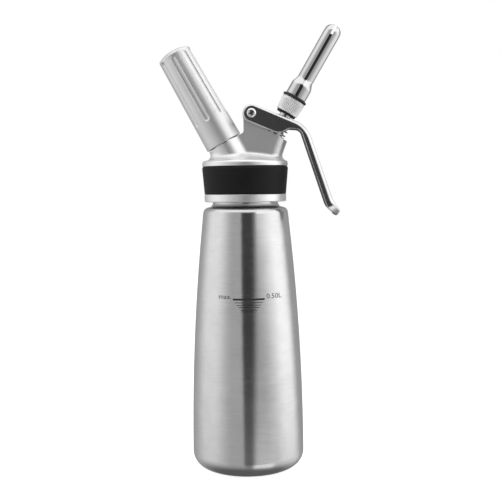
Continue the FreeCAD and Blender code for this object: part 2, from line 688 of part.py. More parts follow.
# ---- valve --------------------------------------------------------------------------------
def valve_gland():
    bore = STEM_RADIUS + RUNNING
    body = turned([
        (bore, -GLAND_DEPTH),
        (GLAND_RADIUS, -GLAND_DEPTH),
        (GLAND_RADIUS, 0),
        (GLAND_GUIDE_RADIUS, 0),
        (GLAND_GUIDE_RADIUS, GLAND_GUIDE_HEIGHT, EDGE_ROUND),
        (bore, GLAND_GUIDE_HEIGHT, FINE_ROUND),
    ])
    groove_half = STEM_O_RING_WIRE + SEAL_GAP
    groove_low = -STEM_O_RING_DEPTH - groove_half
    groove = rod(STEM_RADIUS + O_RING_GROOVE_DEPTH, groove_low, groove_low + 2 * groove_half)
    slot_low = GLAND_GUIDE_HEIGHT - GLAND_SLOT_DEPTH
    slot = bar(-GLAND_RADIUS, GLAND_RADIUS, GLAND_SLOT_WIDTH / 2, slot_low, GLAND_GUIDE_HEIGHT + PAST)
    return on_valve(body.cut([groove, slot]))


def gland_seal_ring():
    low = -GLAND_DEPTH - GLAND_RING_THICKNESS + SEAL_GAP
    return on_valve(tube(GLAND_RADIUS - FIT, SEAT_BORE, low, -GLAND_DEPTH - SEAL_GAP))


def stem_o_ring():
    radius = STEM_RADIUS + RUNNING + STEM_O_RING_WIRE
    return on_valve(o_ring(radius, STEM_O_RING_WIRE, -STEM_O_RING_DEPTH))


def spring_washer():
    return on_valve(tube(WASHER_RADIUS, GLAND_GUIDE_RADIUS + FIT, 0, WASHER_THICKNESS))


def valve_spring():
    high = COLLAR_TOP - COLLAR_THICKNESS
    return on_valve(coil(SPRING_RADIUS, SPRING_WIRE, SPRING_PITCH, WASHER_THICKNESS, high, SPRING_START))


def stem_end():
    """Lower end of the stem's stud."""
    return -SEAT_DEPTH - SEAL_THICKNESS - SEAL_NUT_HEIGHT - STUD_END


def valve_stem():
    collar_low = COLLAR_TOP - COLLAR_THICKNESS
    stem = turned([
        (0, stem_end()),
        (STEM_STUD_RADIUS, stem_end(), EDGE_ROUND),
        (STEM_STUD_RADIUS, -SEAT_DEPTH),
        (STEM_RADIUS, -SEAT_DEPTH),
        (STEM_RADIUS, collar_low),
        (COLLAR_RADIUS, collar_low),
        (COLLAR_RADIUS, COLLAR_TOP, FINE_ROUND),
        (STEM_RADIUS, COLLAR_TOP),
        (STEM_RADIUS, STEM_TOP, EDGE_ROUND),
        (0, STEM_TOP),
    ])
    port_z = -SEAT_DEPTH + STEM_PORT_BELOW_SEAT
    bore = rod(STEM_BORE, port_z - STEM_BORE_BELOW_PORT, STEM_TOP + PAST)
    ports = []
    for direction in (FreeCAD.Vector(1, 0, 0), ACROSS):
        start = UP * port_z - direction * 2 * STEM_RADIUS
        ports.append(Part.makeCylinder(STEM_PORT_RADIUS, 4 * STEM_RADIUS, start, direction))
    return on_valve(stem.cut([bore] + ports))


def valve_seal():
    low = -SEAT_DEPTH - SEAL_THICKNESS
    high = -SEAT_DEPTH - SEAL_GAP
    inner = STEM_STUD_RADIUS + FIT
    corners = [
        (inner, low),
        (SEAL_RADIUS, low, SEAL_ROUND),
        (SEAL_RADIUS, high, FINE_ROUND),
        (inner, high),
    ]
    return on_valve(turned(corners))


def valve_seal_nut():
    high = -SEAT_DEPTH - SEAL_THICKNESS
    low = high - SEAL_NUT_HEIGHT
    nut = hexagon(SEAL_NUT_FLATS, low, high)
    return on_valve(nut.cut(rod(STEM_STUD_RADIUS + FIT, low - PAST, high + PAST)))


# ---- adapter and nozzle -------------------------------------------------------------------
def nozzle_adapter():
    neck_z = ADAPTER_START + ADAPTER_HEIGHT
    stub_top = STUB_Z + STUB_HEIGHT
    body = turned([
        (0, ADAPTER_START),
        (ADAPTER_LOW_RADIUS, ADAPTER_START, EDGE_ROUND),
        (ADAPTER_HIGH_RADIUS, neck_z, EDGE_ROUND),
        (ADAPTER_NECK_RADIUS, neck_z),
        (ADAPTER_NECK_RADIUS, STUB_Z - CLEAR),
        (STUB_RADIUS, STUB_Z - CLEAR),
        (STUB_RADIUS, stub_top, EDGE_ROUND),
        (0, stub_top),
    ])
    ridge = thread(
        STUB_RADIUS, NOZZLE_THREAD_DEPTH, NOZZLE_PITCH, STUB_Z + NOZZLE_THREAD_START,
        NOZZLE_THREAD_LENGTH, NOZZLE_THREAD_ROOT, NOZZLE_THREAD_CREST,
    )
    socket = rod(STEM_RADIUS + FIT, ADAPTER_START - PAST, STEM_TOP + FIT)
    passage = rod(ADAPTER_BORE, STEM_TOP, stub_top + PAST)
    return on_valve(join([body, ridge]).cut([socket, passage]))


def adapter_o_ring():
    middle = STUB_Z - ADAPTER_NECK_HEIGHT / 2
    return on_valve(o_ring(ADAPTER_O_RING_RADIUS, ADAPTER_O_RING_WIRE, middle))


def nozzle():
    bore = STUB_RADIUS + NOZZLE_THREAD_DEPTH + NOZZLE_THREAD_GAP
    base_top = STUB_Z + NOZZLE_BASE_HEIGHT
    tube_z = base_top + NOZZLE_SHOULDER
    tip = STUB_Z + NOZZLE_LENGTH
    inner_tip = tip - NOZZLE_WALL
    body = turned([
        (bore, STUB_Z),
        (NOZZLE_BASE_RADIUS, STUB_Z, FINE_ROUND),
        (NOZZLE_BASE_RADIUS, base_top, NOZZLE_SHOULDER_ROUND),
        (NOZZLE_TUBE_RADIUS, tube_z, NOZZLE_SHOULDER_ROUND),
        (NOZZLE_TIP_RADIUS, tip, NOZZLE_DOME),
        (0, tip),
        (0, inner_tip),
        (NOZZLE_TIP_RADIUS - NOZZLE_WALL, inner_tip, NOZZLE_DOME - NOZZLE_WALL),
        (NOZZLE_TUBE_RADIUS - NOZZLE_WALL, tube_z, NOZZLE_INNER_ROUND),
        (bore, base_top, NOZZLE_INNER_ROUND),
    ])
    ridge = thread(
        bore, -NOZZLE_THREAD_DEPTH, NOZZLE_PITCH, STUB_Z + NOZZLE_THREAD_START + NOZZLE_PITCH / 2,
        NOZZLE_THREAD_LENGTH, NOZZLE_THREAD_ROOT, NOZZLE_THREAD_CREST,
    )
    slots = []
    slot_end = tip - NOZZLE_SLOT_LENGTH
    for i in range(NOZZLE_SLOTS // 2):
        slot = bar(-NOZZLE_BASE_RADIUS, NOZZLE_BASE_RADIUS, NOZZLE_SLOT_WIDTH / 2, slot_end, tip + PAST)
        slot.rotate(ORIGIN, UP, 90 + 360 / NOZZLE_SLOTS * i)
        slots.append(slot)
    return on_valve(body.fuse(ridge).cut(slots))


# ---- lever --------------------------------------------------------------------------------
def lever_point(along, over):
    """The object's (x, z) of a point given along the lever's top and over the pivot."""
    tilt = radians(LEVER_TILT)
    x = PIVOT_X + along * cos(tilt) + over * sin(tilt)
    return x, PIVOT_Z - along * sin(tilt) + over * cos(tilt)


def from_pivot(corner):
    """A corner given from the pivot, in the object's frame."""
    return PIVOT_X + corner[0], PIVOT_Z + corner[1], corner[2]


def lever_blank():
    """The lever's side view as a full block, with its long edges rounded."""
    heel_low = lever_point(-LEVER_ROUND, -LEVER_DROP)
    heel_high = lever_point(-LEVER_ROUND, LEVER_ROUND)
    corners = [(heel_low[0], heel_low[1], LEVER_ROUND)]
    beyond_arch = (LEVER_FLARE_INSIDE, LEVER_TIP_LOW, LEVER_TIP_HIGH, LEVER_FLARE, LEVER_BEND)
    corners += [from_pivot(corner) for corner in LEVER_ARCH[::-1] + beyond_arch]
    corners += [(heel_high[0], heel_high[1], LEVER_ROUND)]
    block = plate(corners, LEVER_OUTER_HALF)
    sides = []
    for edge in block.Edges:
        box = edge.BoundBox
        if box.YLength < 1e-6 and abs(abs(box.YMin) - LEVER_OUTER_HALF) < 1e-6:
            sides.append(edge)
    return block.makeFillet(LEVER_EDGE_ROUND, sides)


def lever_channel():
    """The hollow between the cheeks, open towards the bottle."""
    far = 2 * abs(LEVER_TIP_LOW[1])
    heel_low = lever_point(-LEVER_ROUND, -far)
    heel_high = lever_point(-LEVER_ROUND, LEVER_ROUND)
    run_x = LEVER_TIP_HIGH[0] - LEVER_FLARE[0]
    run_z = LEVER_TIP_HIGH[1] - LEVER_FLARE[1]
    beyond = (LEVER_FLARE[0] + 4 * run_x, LEVER_FLARE[1] + 4 * run_z, 0)
    corners = [heel_low] + [from_pivot(corner) for corner in (beyond, LEVER_FLARE, LEVER_BEND)]
    corners += [(heel_high[0], heel_high[1], LEVER_ROUND)]
    return plate(inset(corners, LEVER_GAUGE), LEVER_INNER_HALF)


def lever():
    hole_radius = STEM_RADIUS + CLEAR
    hole = rod(hole_radius, COLLAR_TOP - 2 * PAST, ADAPTER_START)
    inner_end = hole.copy()
    inner_end.translate(FreeCAD.Vector(-LEVER_SLOT_TRAVEL, 0, 0))
    between = bar(-LEVER_SLOT_TRAVEL, 0, hole_radius, COLLAR_TOP - 2 * PAST, ADAPTER_START)
    heel_low = PIVOT_Z - 3 * LEVER_ROUND
    heel_gap = bar(FIN_LEFT - LEVER_ROUND, PIVOT_X, LEVER_INNER_HALF, heel_low, PIVOT_Z - LEVER_HEEL_DROP)
    pivot_hole = on_pivot(rod(SLEEVE_RADIUS + RUNNING, -LEVER_OUTER_HALF - PAST, LEVER_OUTER_HALF + PAST))
    slot = on_valve(join([hole, between, inner_end]))
    return lever_blank().cut([lever_channel(), heel_gap, pivot_hole, slot])


def lever_pivot_sleeve():
    front = -LEVER_OUTER_HALF - RUNNING
    back = LEVER_OUTER_HALF + RUNNING
    barrel = rod(SLEEVE_RADIUS, front, back)
    head = turned([
        (0, back),
        (SLEEVE_HEAD_RADIUS, back),
        (SLEEVE_HEAD_RADIUS, back + SLEEVE_HEAD_HEIGHT, BOLD_ROUND),
        (0, back + SLEEVE_HEAD_HEIGHT),
    ])
    bore = rod(PIVOT_SCREW_RADIUS + FIT, front - PAST, front + PIVOT_SCREW_LENGTH)
    slot_low = back + SLEEVE_HEAD_HEIGHT - DRIVER_SLOT_DEPTH
    slot_high = back + SLEEVE_HEAD_HEIGHT + PAST
    slot = bar(-SLEEVE_HEAD_RADIUS, SLEEVE_HEAD_RADIUS, DRIVER_SLOT_WIDTH / 2, slot_low, slot_high)
    return on_pivot(barrel.fuse(head).removeSplitter().cut([bore, slot]))


def lever_pivot_screw():
    front = -LEVER_OUTER_HALF - RUNNING
    face = front - PIVOT_SCREW_HEAD_HEIGHT
    end = front + PIVOT_SCREW_LENGTH - PIVOT_SCREW_END_GAP
    body = turned([
        (0, face),
        (PIVOT_SCREW_HEAD_RADIUS, face, PIVOT_SCREW_HEAD_ROUND),
        (PIVOT_SCREW_HEAD_RADIUS, front),
        (PIVOT_SCREW_RADIUS, front),
        (PIVOT_SCREW_RADIUS, end, EDGE_ROUND),
        (0, end),
    ])
    reach = PIVOT_SCREW_HEAD_RADIUS - PIVOT_SCREW_RIM
    cross = []
    for angle in (45, 135):
        arm = bar(-reach, reach, DRIVER_SLOT_WIDTH / 2, face - PAST, face + DRIVER_SLOT_DEPTH)
        arm.rotate(ORIGIN, UP, angle)
        cross.append(arm)
    return on_pivot(body.cut(cross))


# ---- gas inlet ------------------------------------------------------------------------------
def inlet_nipple():
    body = turned([
        (0, -NIPPLE_TAIL_DEPTH),
        (NIPPLE_TAIL_RADIUS, -NIPPLE_TAIL_DEPTH, EDGE_ROUND),
        (NIPPLE_TAIL_RADIUS, -NIPPLE_SPIGOT_DEPTH),
        (NIPPLE_SPIGOT_RADIUS, -NIPPLE_SPIGOT_DEPTH),
        (NIPPLE_SPIGOT_RADIUS, -HOLDER_GAP),
        (NIPPLE_RADIUS, -HOLDER_GAP),
        (NIPPLE_RADIUS, NIPPLE_HEIGHT, BOLD_ROUND),
        (0, NIPPLE_HEIGHT),
    ])
    ridge = thread(
        NIPPLE_RADIUS, NIPPLE_THREAD_DEPTH, NIPPLE_PITCH, NIPPLE_THREAD_START,
        NIPPLE_THREAD_LENGTH, NIPPLE_THREAD_ROOT, NIPPLE_THREAD_CREST,
    )
    tools = [
        rod(NIPPLE_RECESS_RADIUS, NIPPLE_RECESS_FLOOR, NIPPLE_HEIGHT + PAST),
        rod(PIN_BASE_RADIUS + FIT, NIPPLE_RECESS_FLOOR - PIN_BASE_DEPTH, NIPPLE_RECESS_FLOOR + PAST),
        rod(GAS_PASSAGE_RADIUS, -CHECK_SEAT_DEPTH - PAST, 0),
        rod(CHECK_BORE, -NIPPLE_TAIL_DEPTH - PAST, -CHECK_SEAT_DEPTH),
    ]
    return on_inlet(join([body, ridge]).cut(tools))


def nipple_seal_ring():
    low = -HOLDER_GAP - NIPPLE_RING_THICKNESS + SEAL_GAP
    return on_inlet(tube(NIPPLE_RING_RADIUS - FIT, NIPPLE_SPIGOT_RADIUS + FIT, low, -HOLDER_GAP - SEAL_GAP))


def piercing_pin():
    floor = NIPPLE_RECESS_FLOOR
    body = turned([
        (PIN_BORE, floor - PIN_BASE_DEPTH),
        (PIN_BASE_RADIUS, floor - PIN_BASE_DEPTH),
        (PIN_BASE_RADIUS, floor),
        (PIN_RADIUS, floor),
        (PIN_RADIUS, floor + PIN_LENGTH),
        (PIN_BORE, floor + PIN_LENGTH),
    ])
    bevel = bar(-PIN_LENGTH, PIN_LENGTH, PIN_LENGTH, 0, PIN_LENGTH)
    bevel.rotate(ORIGIN, ACROSS, PIN_BEVEL)
    bevel.translate(UP * (floor + PIN_LENGTH - PIN_RADIUS))
    return on_inlet(body.cut(bevel))


def inlet_gasket():
    low = NIPPLE_RECESS_FLOOR
    inner = PIN_RADIUS + FIT
    return on_inlet(tube(NIPPLE_RECESS_RADIUS - FIT, inner, low, low + INLET_GASKET_THICKNESS))


def check_valve_poppet():
    high = -CHECK_SEAT_DEPTH - SEAL_GAP
    low = high - CHECK_POPPET_LENGTH
    poppet = rod(CHECK_BORE - RUNNING, low, high)
    flats = []
    for i in range(3):
        flat = bar(CHECK_POPPET_FLAT, 2 * CHECK_BORE, 2 * CHECK_BORE, low - PAST, high - CHECK_POPPET_RIM)
        flat.rotate(ORIGIN, UP, 120 * i)
        flats.append(flat)
    return on_inlet(poppet.cut(flats))


def check_spring_span():
    """Low and high ends of the check valve's spring."""
    high = -CHECK_SEAT_DEPTH - SEAL_GAP - CHECK_POPPET_LENGTH
    low = -NIPPLE_TAIL_DEPTH + CHECK_PLUG_HEIGHT
    return low, high


def check_valve_spring():
    low, high = check_spring_span()
    return on_inlet(coil(CHECK_SPRING_RADIUS, CHECK_SPRING_WIRE, CHECK_SPRING_PITCH, low, high))


def check_valve_plug():
    high = check_spring_span()[0]
    plug = rod(CHECK_BORE - FIT, -NIPPLE_TAIL_DEPTH, high)
    key = hexagon(CHECK_PLUG_KEY, -NIPPLE_TAIL_DEPTH - PAST, high + PAST)
    return on_inlet(plug.cut(key))


# ---- charger and its holder ------------------------------------------------------------------
def charger_corners(axis):
    """The charger's outer profile from a radius near the axis and back to it."""
    neck_top = CHARGER_Z + CHARGER_NECK_LENGTH
    end = CHARGER_Z + CHARGER_LENGTH
    return [
        (axis, CHARGER_Z),
        (CHARGER_NECK_RADIUS, CHARGER_Z, EDGE_ROUND),
        (CHARGER_NECK_RADIUS, neck_top, CHARGER_NECK_FILLET),
        (CHARGER_RADIUS, neck_top + CHARGER_SHOULDER, CHARGER_SHOULDER_ROUND),
        (CHARGER_RADIUS, end, CHARGER_RADIUS - FIT),
        (axis, end),
    ]


def gas_charger():
    outside = turned(charger_corners(0))
    inside = turned(inset(charger_corners(-CHARGER_WALL), CHARGER_WALL))
    mouth = rod(CHARGER_MOUTH_RADIUS, CHARGER_Z - PAST, CHARGER_Z + 2 * CHARGER_WALL)
    return on_inlet(outside.cut([inside, mouth]))


def charger_holder():
    step = NIPPLE_HEIGHT + HOLDER_STEP_GAP
    body = turned([
        (HOLDER_BORE, 0, FINE_ROUND),
        (HOLDER_MOUTH_RADIUS, 0, BOLD_ROUND),
        (HOLDER_END_RADIUS, HOLDER_EDGE_Z, HOLDER_END_ROUND),
        (HOLDER_CROWN_RADIUS, HOLDER_LENGTH, HOLDER_CROWN_ROUND),
        (0, HOLDER_LENGTH),
        (0, HOLDER_INNER_END),
        (HOLDER_SOCKET, HOLDER_INNER_END, HOLDER_SOCKET_ROUND),
        (HOLDER_SOCKET, step + HOLDER_STEP_HEIGHT),
        (HOLDER_BORE, step),
    ])
    ridge = thread(
        HOLDER_BORE, -NIPPLE_THREAD_DEPTH, NIPPLE_PITCH, NIPPLE_THREAD_START + NIPPLE_PITCH / 2,
        NIPPLE_THREAD_LENGTH, NIPPLE_THREAD_ROOT, NIPPLE_THREAD_CREST,
    )
    return on_inlet(body.fuse(ridge).cut(holder_flutes()))


def holder_flutes():
    """Round ended cutters that follow the holder's taper."""
    radius = (HOLDER_FLUTE_WIDTH**2 / 4 + HOLDER_FLUTE_DEPTH**2) / 2 / HOLDER_FLUTE_DEPTH
    slope = (HOLDER_END_RADIUS - HOLDER_MOUTH_RADIUS) / HOLDER_EDGE_Z
    low = HOLDER_MOUTH_RADIUS + slope * HOLDER_FLUTE_START + radius - HOLDER_FLUTE_DEPTH
    length = HOLDER_LENGTH - HOLDER_FLUTE_STOP - HOLDER_FLUTE_START
    low_end = -radius
    high_end = length + radius
    end_round = radius - FIT
    upright = turned([
        (0, low_end),
        (radius, low_end, end_round),
        (radius, high_end, end_round),
        (0, high_end),
    ])
    cutters = []
    for i in range(HOLDER_FLUTES):
        cutter = leaning(upright, low, HOLDER_FLUTE_START, degrees(atan(slope)))
        cutter.rotate(ORIGIN, UP, HOLDER_FLUTE_ANGLE - 90 + 360 / HOLDER_FLUTES * i)
        cutters.append(cutter)
    return cutters


PIECES = {
    "bottle": bottle,
    "head_body": head_body,
    "grip_band": grip_band,
    "head_gasket": head_gasket,
    "lever": lever,
    "lever_pivot_sleeve": lever_pivot_sleeve,
    "lever_pivot_screw": lever_pivot_screw,
    "valve_gland": valve_gland,
    "gland_seal_ring": gland_seal_ring,
    "stem_o_ring": stem_o_ring,
    "spring_washer": spring_washer,
    "valve_spring": valve_spring,
    "valve_stem": valve_stem,
    "valve_seal": valve_seal,
    "valve_seal_nut": valve_seal_nut,
    "nozzle_adapter": nozzle_adapter,
    "adapter_o_ring": adapter_o_ring,
    "nozzle": nozzle,
    "inlet_nipple": inlet_nipple,
    "nipple_seal_ring": nipple_seal_ring,
    "piercing_pin": piercing_pin,
    "inlet_gasket": inlet_gasket,
    "check_valve_poppet": check_valve_poppet,
    "check_valve_spring": check_valve_spring,
    "check_valve_plug": check_valve_plug,
    "gas_charger": gas_charger,
    "charger_holder": charger_holder,
}

os.makedirs("parts", exist_ok=True)
for node, make in PIECES.items():
    shape = make()
    solids = len(shape.Solids)
    print(f"{node:20s} solids {solids} valid {shape.isValid()} volume {shape.Volume:.1f}")
    shape.exportStep(f"parts/{node}.step")
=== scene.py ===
import math

import bmesh
import bpy
from mathutils import Matrix, Vector
from mathutils.bvhtree import BVHTree


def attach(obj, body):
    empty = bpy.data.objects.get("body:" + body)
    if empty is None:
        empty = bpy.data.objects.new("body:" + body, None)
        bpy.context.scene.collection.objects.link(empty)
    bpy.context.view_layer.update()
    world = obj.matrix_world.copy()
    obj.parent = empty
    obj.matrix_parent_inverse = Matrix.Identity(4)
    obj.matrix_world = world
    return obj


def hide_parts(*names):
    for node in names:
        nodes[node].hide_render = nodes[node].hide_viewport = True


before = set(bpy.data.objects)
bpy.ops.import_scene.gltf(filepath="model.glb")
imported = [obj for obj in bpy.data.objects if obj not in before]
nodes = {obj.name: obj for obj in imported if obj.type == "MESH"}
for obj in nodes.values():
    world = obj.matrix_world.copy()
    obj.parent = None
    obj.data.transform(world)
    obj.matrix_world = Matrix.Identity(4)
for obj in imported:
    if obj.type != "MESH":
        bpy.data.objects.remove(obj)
scene = bpy.context.scene
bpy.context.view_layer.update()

# ---- where things are, in metres, as the CAD has them ---------------------------------------
MM = 0.001
ORIGIN = Vector((0, 0, 0))
UPRIGHT = Vector((0, 0, 1))
VALVE_POINT = Vector((0.0207, 0, 0.23423))
VALVE_LEAN = math.radians(30.4)
VALVE_AXIS = Vector((math.sin(VALVE_LEAN), 0, math.cos(VALVE_LEAN)))
INLET_POINT = Vector((-0.01447, 0, 0.22877))
INLET_LEAN = math.radians(-29.0)
INLET_AXIS = Vector((math.sin(INLET_LEAN), 0, math.cos(INLET_LEAN)))
PIVOT_POINT = Vector((0.00487, 0, 0.24865))


# ---- small helpers for node trees -----------------------------------------------------------
class Tree:
    """A node tree with short calls to add nodes and link them."""

    def __init__(self, tree):
        self.tree = tree
        tree.nodes.clear()

    def add(self, kind, **settings):
        node = self.tree.nodes.new(kind)
        inputs = settings.pop("inputs", {})
        for name, value in settings.items():
            setattr(node, name, value)
        for name, value in inputs.items():
            self.put(node.inputs[name], value)
        return node

    def put(self, socket, value):
        if isinstance(value, bpy.types.NodeSocket):
            self.tree.links.new(value, socket)
        else:
            socket.default_value = value

    def math(self, operation, a, b=0.0):
        node = self.add("ShaderNodeMath", operation=operation)
        self.put(node.inputs[0], a)
        self.put(node.inputs[1], b)
        return node.outputs[0]

    def vector(self, operation, a, b=(0, 0, 0)):
        node = self.add("ShaderNodeVectorMath", operation=operation)
        self.put(node.inputs[0], a)
        self.put(node.inputs[1], b)
        return node.outputs[0]

    def span(self, value, low, high, to_low, to_high):
        """A value between low and high, spread over another range and held inside it."""
        node = self.add("ShaderNodeMapRange", inputs={
            "Value": value, "From Min": low, "From Max": high, "To Min": to_low, "To Max": to_high,
        })
        return node.outputs[0]

    def step(self, value, middle, soft):
        """0 below a value and 1 above it, with a smooth change that is `soft` wide."""
        node = self.add("ShaderNodeMapRange", interpolation_type="SMOOTHSTEP", inputs={
            "Value": value, "From Min": middle - soft / 2, "From Max": middle + soft / 2,
        })
        return node.outputs[0]

    def noise(self, where, scale, detail, rough):
        node = self.add("ShaderNodeTexNoise", inputs={
            "Vector": where, "Scale": scale, "Detail": detail, "Roughness": rough,
        })
        return node.outputs["Fac"]

    def finish(self, output, shader):
        """Link a shader to a new output node of that kind."""
        self.put(self.add(output).inputs["Surface"], shader.outputs[0])


def material(name):
    made = bpy.data.materials.new(name)
    made.use_nodes = True
    return made, Tree(made.node_tree)


def local(tree, point, axis):
    """Object coordinates in metres, from a point, with +Z along an axis that leans in the XZ plane."""
    coordinates = tree.add("ShaderNodeTexCoord").outputs["Object"]
    moved = tree.vector("SUBTRACT", coordinates, tuple(point))
    turned = tree.add("ShaderNodeVectorRotate", rotation_type="Y_AXIS", inputs={
        "Vector": moved, "Angle": -math.atan2(axis.x, axis.z),
    })
    return turned.outputs[0]


def separate(tree, where):
    parts = tree.add("ShaderNodeSeparateXYZ")
    tree.put(parts.inputs[0], where)
    return tuple(parts.outputs)


def combine(tree, kind, values):
    """One vector or colour from three values, by a node of that kind."""
    node = tree.add(kind)
    for socket, value in zip(node.inputs, values):
        tree.put(socket, value)
    return node.outputs[0]


def neutral(tree, value):
    """A grey from one value."""
    return combine(tree, "ShaderNodeCombineColor", (value, value, value))


def round_axis(tree, where):
    """(turn round the axis, radius, height) of local coordinates, as sockets."""
    x, y, z = separate(tree, where)
    turn = tree.math("ARCTAN2", y, x)
    radius = tree.math("SQRT", tree.math("ADD", tree.math("MULTIPLY", x, x), tree.math("MULTIPLY", y, y)))
    return turn, radius, z


def way_round(tree, axis):
    """The direction round an axis at each point, for brushing that runs round it."""
    turned = tree.add("ShaderNodeVectorTransform", vector_type="VECTOR", convert_from="OBJECT",
                      convert_to="WORLD")
    turned.inputs[0].default_value = tuple(axis)
    normal = tree.add("ShaderNodeNewGeometry").outputs["Normal"]
    return tree.vector("CROSS_PRODUCT", turned.outputs[0], normal)


def add_bump(tree, shader, height, strength, distance):
    raised = tree.add("ShaderNodeBump", inputs={"Strength": strength, "Distance": distance, "Height": height})
    tree.put(shader.inputs["Normal"], raised.outputs[0])


# ---- kinds of material ----------------------------------------------------------------------
# A noise is (scale, detail, roughness), its scale per metre. The turned lines are drawn in
# (radians round the axis, radius, height), each with a scale of its own.
LINE_SCALES = (3.0, 300.0, 5000.0)
LINE_NOISE = (1.0, 3.0, 0.65)
GRAIN_NOISE = (1800.0, 3.0, 0.6)
CLOUD_DETAIL = (3.0, 0.6)
RUBBER_GRAIN = (2500.0, 2.0, 0.5)
RUBBER_CLOUDS = (90.0, 3.0, 0.5)
INK_NOISE = (900.0, 3.0, 0.6)
# the part of a noise's values that is spread over a range
FINE_RANGE = (0.25, 0.75)
SLOW_RANGE = (0.3, 0.7)
INK_RANGE = (0.35, 0.75)
METAL_BUMP_DEPTH = 0.00002
BRUSH_ROTATION = 0.25
RUBBER_BUMP = (0.15, 0.00003)   # (strength, depth)
RUBBER_UNEVEN = 0.15            # share of its tone
RUBBER_ROUGH_SPREAD = 0.05
INK_TONES = (0.006, 0.03)
INK_ROUGHNESS = (0.45, 0.6)


def metal(name, tone, rough, point=ORIGIN, axis=UPRIGHT, turned=True, brushed=0.0, line_tone=0.05,
          line_rough=0.04, cloud=0.03, cloud_scale=60.0, bump=0.0):
    """Bare metal with fine turned lines round an axis, or a blasted grain instead, and slow clouds."""
    made, tree = material(name)
    where = local(tree, point, axis)
    if turned:
        scaled = [tree.math("MULTIPLY", part, scale)
                  for part, scale in zip(round_axis(tree, where), LINE_SCALES)]
        fine = tree.noise(combine(tree, "ShaderNodeCombineXYZ", scaled), *LINE_NOISE)
    else:
        fine = tree.noise(where, *GRAIN_NOISE)
    clouds = tree.noise(where, cloud_scale, *CLOUD_DETAIL)
    value = tree.math("ADD", tree.span(fine, *FINE_RANGE, tone - line_tone, tone + line_tone),
                      tree.span(clouds, *SLOW_RANGE, -cloud, cloud))
    shader = tree.add("ShaderNodeBsdfPrincipled", inputs={
        "Metallic": 1.0,
        "Base Color": neutral(tree, value),
        "Roughness": tree.span(fine, *FINE_RANGE, rough - line_rough, rough + line_rough),
    })
    if brushed:
        shader.inputs["Anisotropic"].default_value = brushed
        shader.inputs["Anisotropic Rotation"].default_value = BRUSH_ROTATION
        tree.put(shader.inputs["Tangent"], way_round(tree, axis))
    if bump:
        add_bump(tree, shader, fine, bump, METAL_BUMP_DEPTH)
    tree.finish("ShaderNodeOutputMaterial", shader)
    return made


def rubber(name, tone, rough, gloss=0.5):
    """Moulded rubber with a fine matt grain and a slightly uneven tone."""
    made, tree = material(name)
    where = tree.add("ShaderNodeTexCoord").outputs["Object"]
    fine = tree.noise(where, *RUBBER_GRAIN)
    slow = tree.noise(where, *RUBBER_CLOUDS)
    value = tree.span(slow, *SLOW_RANGE, tone * (1 - RUBBER_UNEVEN), tone * (1 + RUBBER_UNEVEN))
    shader = tree.add("ShaderNodeBsdfPrincipled", inputs={
        "Base Color": neutral(tree, value),
        "Specular IOR Level": gloss,
        "Roughness": tree.span(fine, *SLOW_RANGE, rough - RUBBER_ROUGH_SPREAD, rough + RUBBER_ROUGH_SPREAD),
    })
    add_bump(tree, shader, fine, *RUBBER_BUMP)
    tree.finish("ShaderNodeOutputMaterial", shader)
    return made


def ink(name):
    """Dull black print with a slightly worn, uneven tone."""
    made, tree = material(name)
    where = tree.add("ShaderNodeTexCoord").outputs["Object"]
    worn = tree.noise(where, *INK_NOISE)
    shader = tree.add("ShaderNodeBsdfPrincipled", inputs={
        "Base Color": neutral(tree, tree.span(worn, *INK_RANGE, *INK_TONES)),
        "Roughness": tree.span(worn, *SLOW_RANGE, *INK_ROUGHNESS),
    })
    tree.finish("ShaderNodeOutputMaterial", shader)
    return made


# ---- materials of the CAD nodes ---------------------------------------------------------------
BOTTLE_TONE = 0.66
ON_VALVE = {"point": VALVE_POINT, "axis": VALVE_AXIS}
ON_INLET = {"point": INLET_POINT, "axis": INLET_AXIS}


def dress(made, *names):
    for name in names:
        data = nodes[name].data
        data.materials.clear()
        data.materials.append(made)


def dress_nodes():
    """Give each CAD node its material and smooth shading."""
    dress(metal("bottle_steel", BOTTLE_TONE, 0.21, brushed=0.8, bump=0.25), "bottle")
    dress(metal("head_aluminium", 0.86, 0.42, turned=False, line_tone=0.03, line_rough=0.02, bump=0.1),
          "head_body")
    dress(metal("bright_steel", 0.66, 0.14, **ON_VALVE, line_tone=0.02),
          "valve_gland", "spring_washer", "valve_stem", "valve_seal_nut")
    dress(metal("pivot_steel", 0.80, 0.20, point=PIVOT_POINT, turned=False, line_tone=0.02),
          "lever_pivot_sleeve")
    dress(metal("spring_steel", 0.62, 0.18, turned=False, line_tone=0.02),
          "valve_spring", "check_valve_spring")
    dress(metal("inlet_steel", 0.70, 0.18, **ON_INLET, line_tone=0.02),
          "inlet_nipple", "piercing_pin", "check_valve_poppet", "check_valve_plug")
    dress(metal("nozzle_chrome", 0.64, 0.06, **ON_VALVE, line_tone=0.01, line_rough=0.01, cloud=0.01),
          "nozzle")
    dress(metal("holder_aluminium", 0.78, 0.44, **ON_INLET, turned=False, line_tone=0.04, line_rough=0.02),
          "charger_holder")
    dress(metal("charger_steel", 0.6, 0.3, **ON_INLET), "gas_charger")
    dress(rubber("band_rubber", 0.006, 0.58, 0.22), "grip_band")
    dress(rubber("seal_rubber", 0.006, 0.5), "adapter_o_ring", "stem_o_ring", "gland_seal_ring", "valve_seal",
          "nipple_seal_ring", "inlet_gasket")
    dress(rubber("gasket_silicone", 0.62, 0.5), "head_gasket")
    for node in nodes.values():
        node.data.shade_smooth()


# ---- helpers for the pieces made here -----------------------------------------------------
def place_on(axis_point, axis):
    """The matrix that puts local +Z on an axis that leans in the XZ plane."""
    return Matrix.Translation(axis_point) @ Matrix.Rotation(math.atan2(axis.x, axis.z), 4, "Y")


